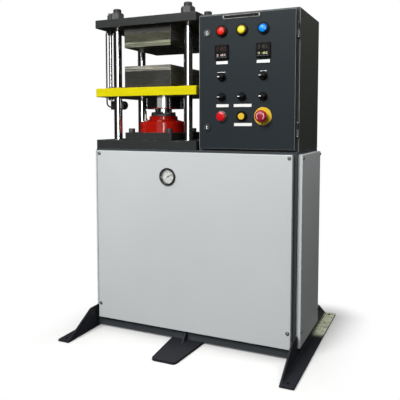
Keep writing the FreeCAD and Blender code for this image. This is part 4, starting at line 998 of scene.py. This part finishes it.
class PRESS_OT_gauge(bpy.types.Operator):
    """Builds the dial with its marks and figures, and the glass of the pressure gauge"""

    bl_idname = "press.gauge"
    bl_label = "Pressure gauge"

    def execute(self, context):
        settings = context.scene.press_gauge
        finish_nodes(moulded("gauge_black", (0.016, 0.016, 0.017), 0.3), "gauge_case")
        finish_nodes(moulded("needle_black", (0.01, 0.01, 0.01)), "gauge_needle")
        centre = middle("gauge_case")
        face = on_front(centre.x, PANEL_FACE + DIAL_BACK, centre.z)
        plate = [(r * MM, height * MM) for r, height in DIAL]
        piece("gauge_dial", Shape().lathe(plate), face, printed_film("dial_white", (0.64, 0.66, 0.64), 0.45),
              "cabinet")
        ink = Shape()
        first = math.radians(90.0) + settings.sweep / 2
        for k in range(settings.full + 1):
            angle = first - settings.sweep * k / settings.full
            if k % settings.step:
                tick(ink, angle, *FINE_TICK)
                continue
            tick(ink, angle, *BOLD_TICK)
            ink.figures(str(k), FIGURE_H, *polar(FIGURE_R, angle), DIAL_T, INK_T)
        rim = SCALE_R + SCALE_LINE
        line = ((SCALE_R, DIAL_T), (rim, DIAL_T), (rim, DIAL_T + INK_T), (SCALE_R, DIAL_T + INK_T))
        ink.arc(first, -settings.sweep, 72, lambda share: line)
        piece("gauge_marks", ink, face, moulded("ink_black", (0.01, 0.01, 0.01), 0.5), "cabinet")
        glass = [(r * MM, height * MM) for r, height in GLASS]
        piece("gauge_glass", Shape().lathe(glass, 72), on_front(centre.x, PANEL_FACE, centre.z),
              clear_glass("gauge_glass"), "cabinet", 60.0)
        return {"FINISHED"}


def tick(shape, angle, length, width):
    """A raised mark on the scale that points at the middle of the dial."""
    ax, ay = polar(1.0, angle)
    outline = [(ax * r - ay * side * width / 2, ay * r + ax * side * width / 2)
               for r, side in ((SCALE_R - length, -1), (SCALE_R, -1), (SCALE_R, 1), (SCALE_R - length, 1))]
    shape.slab(outline, DIAL_T, DIAL_T + INK_T)


class PRESS_OT_labels(bpy.types.Operator):
    """Builds the bare labels and the bare nameplate with its rivets"""

    bl_idname = "press.labels"
    bl_label = "Labels"

    def execute(self, context):
        settings = context.scene.press_controls
        face = on_front(0.0, DOOR_FACE, 0.0)
        film = printed_film("label_film", settings.label)
        for name, edges in LABELS.items():
            label = rounded(*(edge * MM for edge in edges), 0.8 * MM)
            piece(name, Shape().slab(label, 0, settings.label_thick, 0.1 * MM), face, film, "door")
        x0, x1, z0, z1 = (edge * MM for edge in NAMEPLATE)
        black = moulded("plate_black", (0.005, 0.005, 0.005), 0.45, shine=0.1)
        piece("nameplate", Shape().slab(rounded(x0, x1, z0, z1, 1.5 * MM), 0, PLATE_T, 0.3 * MM), face, black,
              "door")
        line = Shape().frame(x0 + 2.2 * MM, x1 - 2.2 * MM, z0 + 1.8 * MM, z1 - 1.8 * MM, 0.55 * MM,
                             PLATE_T, PLATE_T + 0.08 * MM)
        piece("nameplate_line", line, face, film, "door")
        rivets = Shape()
        head = [(r * MM, height * MM) for r, height in RIVET]
        for x in (x0 + 5 * MM, x1 - 5 * MM):
            rivets.lathe(head, 24, x, (z0 + z1) / 2)
        piece("nameplate_rivets", rivets, face, zinc_plate("rivet_zinc", (0.6, 0.6, 0.58)), "door")
        return {"FINISHED"}


class PRESS_OT_displays(bpy.types.Operator):
    """Builds the dark windows, the lit figures and the keys of the temperature controllers"""

    bl_idname = "press.displays"
    bl_label = "Displays"

    def execute(self, context):
        settings = context.scene.press_controls
        window_glass = moulded("window_smoke", (0.004, 0.003, 0.003), 0.3, shine=0.1)
        key_grey = moulded("key_grey", (0.02, 0.02, 0.021))
        z = (METER_LOW.z + METER_HIGH.z) / 2
        for side, x, texts, upper, lower in (
                ("left", METER_LOW.x + METER_HALF, settings.red_digits.split(), (0.1, 0.005, 0.004),
                 (1.0, 0.78, 0.74)),
                ("right", METER_HIGH.x - METER_HALF, settings.green_digits.split(), (0.08, 0.055, 0.004),
                 (0.9, 0.92, 0.45))):
            if len(texts) != 2:
                raise ValueError("a display needs an upper and a lower row of figures")
            face = on_front(x, METER_LOW.y + METER_RECESS, z)
            window = rounded(*(edge * MM for edge in WINDOW), 1.0 * MM)
            piece("window_" + side, Shape().slab(window, 0, 0.5 * MM, 0.1 * MM), face, window_glass, "door")
            for row, text, height, y, lit, power in (("upper", texts[0], 11.8 * MM, 9.0 * MM, upper, 0.15),
                                                     ("lower", texts[1], 5.2 * MM, -11.6 * MM, lower, 1.0)):
                shape = Shape()
                for k, figure in enumerate(text):
                    digit(shape, figure, (k - (len(text) - 1) / 2) * DIGIT_PITCH, y, height)
                name = "figures_%s_%s" % (side, row)
                piece(name, shape, face, glow("glow_" + name, lit, power), "door")
            keys = Shape()
            for k in range(4):
                middle_x = (k - 1.5) * KEY_PITCH
                keys.slab(rounded(middle_x - KEY_HALF, middle_x + KEY_HALF, *KEY_EDGES, 1.0 * MM),
                          1.1 * MM, 2.0 * MM, 0.3 * MM)
            piece("keys_" + side, keys, face, key_grey, "door")
        return {"FINISHED"}


def digit(shape, figure, x, y, height):
    """One seven segment figure of slanted bars, just proud of the window."""
    w, h = DIGIT_WIDTH / 2, height / 2
    bar = DIGIT_WIDTH * 0.2
    gap = bar * 0.3
    ends = {"a": (-w, h, w, h), "b": (w, 0, w, h), "c": (w, -h, w, 0), "d": (-w, -h, w, -h),
            "e": (-w, -h, -w, 0), "f": (-w, 0, -w, h), "g": (-w, 0, w, 0)}
    for name in SEGMENTS[figure]:
        ax, ay, bx, by = ends[name]
        length = math.hypot(bx - ax, by - ay)
        ux, uy = (bx - ax) / length, (by - ay) / length
        tips = ((gap, 0), (gap + bar / 2, -1), (length - gap - bar / 2, -1), (length - gap, 0),
                (length - gap - bar / 2, 1), (gap + bar / 2, 1))
        points = []
        for along, across in tips:
            px = ax + ux * along - uy * across * bar / 2
            py = ay + uy * along + ux * across * bar / 2
            points.append((x + px + DIGIT_LEAN * py, y + py))
        shape.slab(points, 0.5 * MM, 0.62 * MM)


class PRESS_OT_pointers(bpy.types.Operator):
    """Builds the white pointer on each selector"""

    bl_idname = "press.pointers"
    bl_label = "Selector pointers"

    def execute(self, context):
        half = context.scene.press_controls.pointer_width / 2
        line = rounded(-POINTER_END, -POINTER_START, -half, half, 0.8 * MM)
        white = printed_film("pointer_white", (0.86, 0.86, 0.85), 0.3)
        for name in SELECTORS:
            centre = middle(name)
            shape = Shape().slab(line, 0, 0.2 * MM, 0.05 * MM)
            piece("pointer_" + name, shape, on_front(centre.x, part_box(name)[0].y, centre.z), white, name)
        return {"FINISHED"}


class PRESS_OT_stop_arrows(bpy.types.Operator):
    """Builds the two curved arrows on the emergency stop"""

    bl_idname = "press.stop_arrows"
    bl_label = "Emergency stop arrows"

    def execute(self, context):
        centre = middle("estop_head")
        shape = Shape()
        for start in (-55.0, 125.0):
            shape.arc(math.radians(start), math.radians(110.0), 16, arrow_section)
        piece("stop_arrows", shape, on_front(centre.x, DOOR_FACE, centre.z),
              printed_film("arrow_white", (0.8, 0.55, 0.55), 0.3), "estop_head")
        return {"FINISHED"}


def arrow_section(share):
    """The corners of an arrow on the dome, at a share of its length; it ends in a pointed head."""
    radius, half = 12.4 * MM, 1.0 * MM
    if share >= 1 - ARROW_HEAD:
        half = max(2.3 * MM * (1 - share) / ARROW_HEAD, 0.05 * MM)
    return [(r, dome_height(r) + lift * MM) for r, lift in
            ((radius - half, -0.05), (radius + half, -0.05), (radius + half, 0.2), (radius - half, 0.2))]


def dome_height(radius):
    """The height of the emergency stop's domed face in front of the door, at a radius."""
    r = radius / MM
    for (r0, h0), (r1, h1) in zip(STOP_DOME, STOP_DOME[1:]):
        if r <= r1:
            return (h0 + (h1 - h0) * (r - r0) / (r1 - r0)) * MM
    return STOP_DOME[-1][1] * MM


class PRESS_OT_threads(bpy.types.Operator):
    """Builds the threads on the column studs and on the stroke rod"""

    bl_idname = "press.threads"
    bl_label = "Threads"

    def execute(self, context):
        settings = context.scene.press_trim
        low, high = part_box("columns")
        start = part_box("press_fasteners")[1].z + 0.4 * MM
        studs = Shape()
        for x in (low.x + COLUMN_R, high.x - COLUMN_R):
            for y in (low.y + COLUMN_R, high.y - COLUMN_R):
                helix(studs, x, y, start, high.z - 2.4 * MM, STUD_R, settings.stud_pitch)
        piece("stud_threads", studs, None, black_oxide("stud_oxide", OXIDE), "cabinet", 80.0)
        low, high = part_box("stroke_rod")
        rod = Shape()
        helix(rod, (low.x + high.x) / 2, (low.y + high.y) / 2, high.z - 7.4 * MM, high.z - 0.6 * MM, ROD_R,
              settings.rod_pitch)
        piece("rod_thread", rod, None, black_oxide("thread_oxide", OXIDE), "bolster", 80.0)
        return {"FINISHED"}


def helix(shape, x, y, z0, z1, radius, pitch, per_turn=28):
    """A thread ridge wound on a bar, which runs out to nothing at both ends."""
    count = int((z1 - z0 - pitch) / pitch * per_turn)
    inner = radius - 0.15 * MM
    rings = []
    for k in range(count + 1):
        z = z0 + pitch / 2 + pitch * k / per_turn
        fade = min(1.0, k / per_turn * 2, (count - k) / per_turn * 2)
        crest = radius + pitch * 0.3 * max(fade, 0.02)
        rings.append([(*polar(r, 2 * math.pi * k / per_turn, x, y), z + up * pitch) for r, up in
                      ((inner, -0.45), (crest, -0.06), (crest, 0.06), (inner, 0.45))])
    shape.sweep(rings)


class PRESS_OT_welds(bpy.types.Operator):
    """Builds the weld beads between the feet and their upright plates"""

    bl_idname = "press.welds"
    bl_label = "Welds"

    def execute(self, context):
        leg = context.scene.press_trim.weld
        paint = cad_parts["feet"].material_slots[0].material
        outer = CABINET_HALF + FOOT_WEB
        for name, lines, (start, end) in (("left", (-outer,), (-SIDE_WELD, SIDE_WELD)),
                                          ("right", (outer,), (-SIDE_WELD, SIDE_WELD)),
                                          ("middle", (MID_FOOT_X - FOOT_WEB, MID_FOOT_X), MID_WELD)):
            shape = Shape()
            for x in lines:
                bead(shape, Vector((x, start, FOOT_TOP)), Vector((x, end, FOOT_TOP)), leg)
            piece("weld_" + name, shape, None, paint, "cabinet", 60.0)
        return {"FINISHED"}


def bead(shape, start, end, leg, sides=8):
    """A weld bead: a bar with closely laid ripples, sunk half way into the corner that it fills."""
    length = (end - start).length
    along = (end - start) / length
    up = Vector((0, 0, 1))
    across = along.cross(up)
    ripple = 2.4 * MM
    count = int(length / (ripple / 3))
    rings = []
    for k in range(count + 1):
        here = start + along * (length * k / count)
        wave = 1 + 0.12 * math.cos(2 * math.pi * k / 3) + 0.06 * math.sin(k * 0.37)
        fade = min(1.0, 0.35 + k / 6, 0.35 + (count - k) / 6)
        radius = leg * 0.75 * wave * fade
        rings.append([here + (across * math.cos(a) + up * math.sin(a)) * radius for a in turn(sides)])
    shape.sweep(rings)


class PRESS_OT_rings(bpy.types.Operator):
    """Builds the rings round the locks, the push buttons and the lamps"""

    bl_idname = "press.rings"
    bl_label = "Rings of locks, buttons and lamps"

    def execute(self, context):
        finishes = {"ring_black": moulded("ring_black", (0.012, 0.012, 0.013)),
                    "collar_black": moulded("collar_black", (0.004, 0.004, 0.004), 0.45, shine=0.1),
                    "bezel_zinc": zinc_plate("bezel_zinc", (0.3, 0.27, 0.27), 0.4)}
        for names, inner, outer, proud, finish in RINGS:
            profile = [(r * MM, height * MM) for r, height in
                       ((inner, 0), (outer, 0), (outer, proud - 1.0), (outer - 1.0, proud), (inner, proud))]
            for name in names:
                centre = control_centre(name)
                piece("ring_" + name, Shape().lathe(profile, 48), on_front(centre.x, DOOR_FACE, centre.z),
                      finishes[finish], "door")
        return {"FINISHED"}


class PRESS_OT_door_seal(bpy.types.Operator):
    """Builds the foam seal inside the rim of the door"""

    bl_idname = "press.door_seal"
    bl_label = "Door seal"

    def execute(self, context):
        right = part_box("box_shell")[1].x - 2 * SEAL_INSET
        path = rounded(DOOR_LOW.x + SEAL_INSET, right, DOOR_LOW.z + SEAL_INSET, DOOR_HIGH.z - SEAL_INSET,
                       SEAL_CORNER, 6)
        wide, deep = SEAL_HALF
        rings = []
        for k, (x, z) in enumerate(path):
            ahead, behind = path[(k + 1) % len(path)], path[k - 1]
            tx, tz = ahead[0] - behind[0], ahead[1] - behind[1]
            size = math.hypot(tx, tz)
            rings.append([(x + tz / size * wide * math.cos(a), DOOR_BACK - SEAL_DEEP + deep * math.sin(a),
                           z - tx / size * wide * math.cos(a)) for a in turn(8)])
        piece("door_seal", Shape().sweep(rings, closed=True), None,
              rubber("seal_foam", (0.012, 0.012, 0.012)), "door", 60.0)
        return {"FINISHED"}


OPERATORS = (PRESS_OT_stage, PRESS_OT_cabinet, PRESS_OT_press, PRESS_OT_controls, PRESS_OT_inside,
             PRESS_OT_gauge, PRESS_OT_labels, PRESS_OT_displays, PRESS_OT_pointers, PRESS_OT_stop_arrows,
             PRESS_OT_threads, PRESS_OT_welds, PRESS_OT_rings, PRESS_OT_door_seal)


class PRESS_PT_sidebar(bpy.types.Panel):
    """Lists the settings and the steps"""

    bl_idname = "PRESS_PT_sidebar"
    bl_label = "Moulding press"
    bl_space_type = "VIEW_3D"
    bl_region_type = "UI"
    bl_category = "Press"

    def draw(self, context):
        for name in SETTINGS:
            group = getattr(context.scene, name)
            column = self.layout.column(align=True)
            for key in group.bl_rna.properties.keys():
                if key not in ("rna_type", "name"):
                    column.prop(group, key)
        for operator in OPERATORS:
            self.layout.operator(operator.bl_idname)


def register():
    for group in SETTINGS.values():
        bpy.utils.register_class(group)
    for name, group in SETTINGS.items():
        setattr(bpy.types.Scene, name, PointerProperty(type=group))
    for entry in OPERATORS + (PRESS_PT_sidebar,):
        bpy.utils.register_class(entry)


def unregister():
    for entry in reversed(OPERATORS + (PRESS_PT_sidebar,)):
        bpy.utils.unregister_class(entry)
    for name in SETTINGS:
        delattr(bpy.types.Scene, name)
    for group in reversed(list(SETTINGS.values())):
        bpy.utils.unregister_class(group)


def main():
    register()
    for operator in OPERATORS:
        group, name = operator.bl_idname.split(".")
        getattr(getattr(bpy.ops, group), name)()


if __name__ == "__main__":
    main()
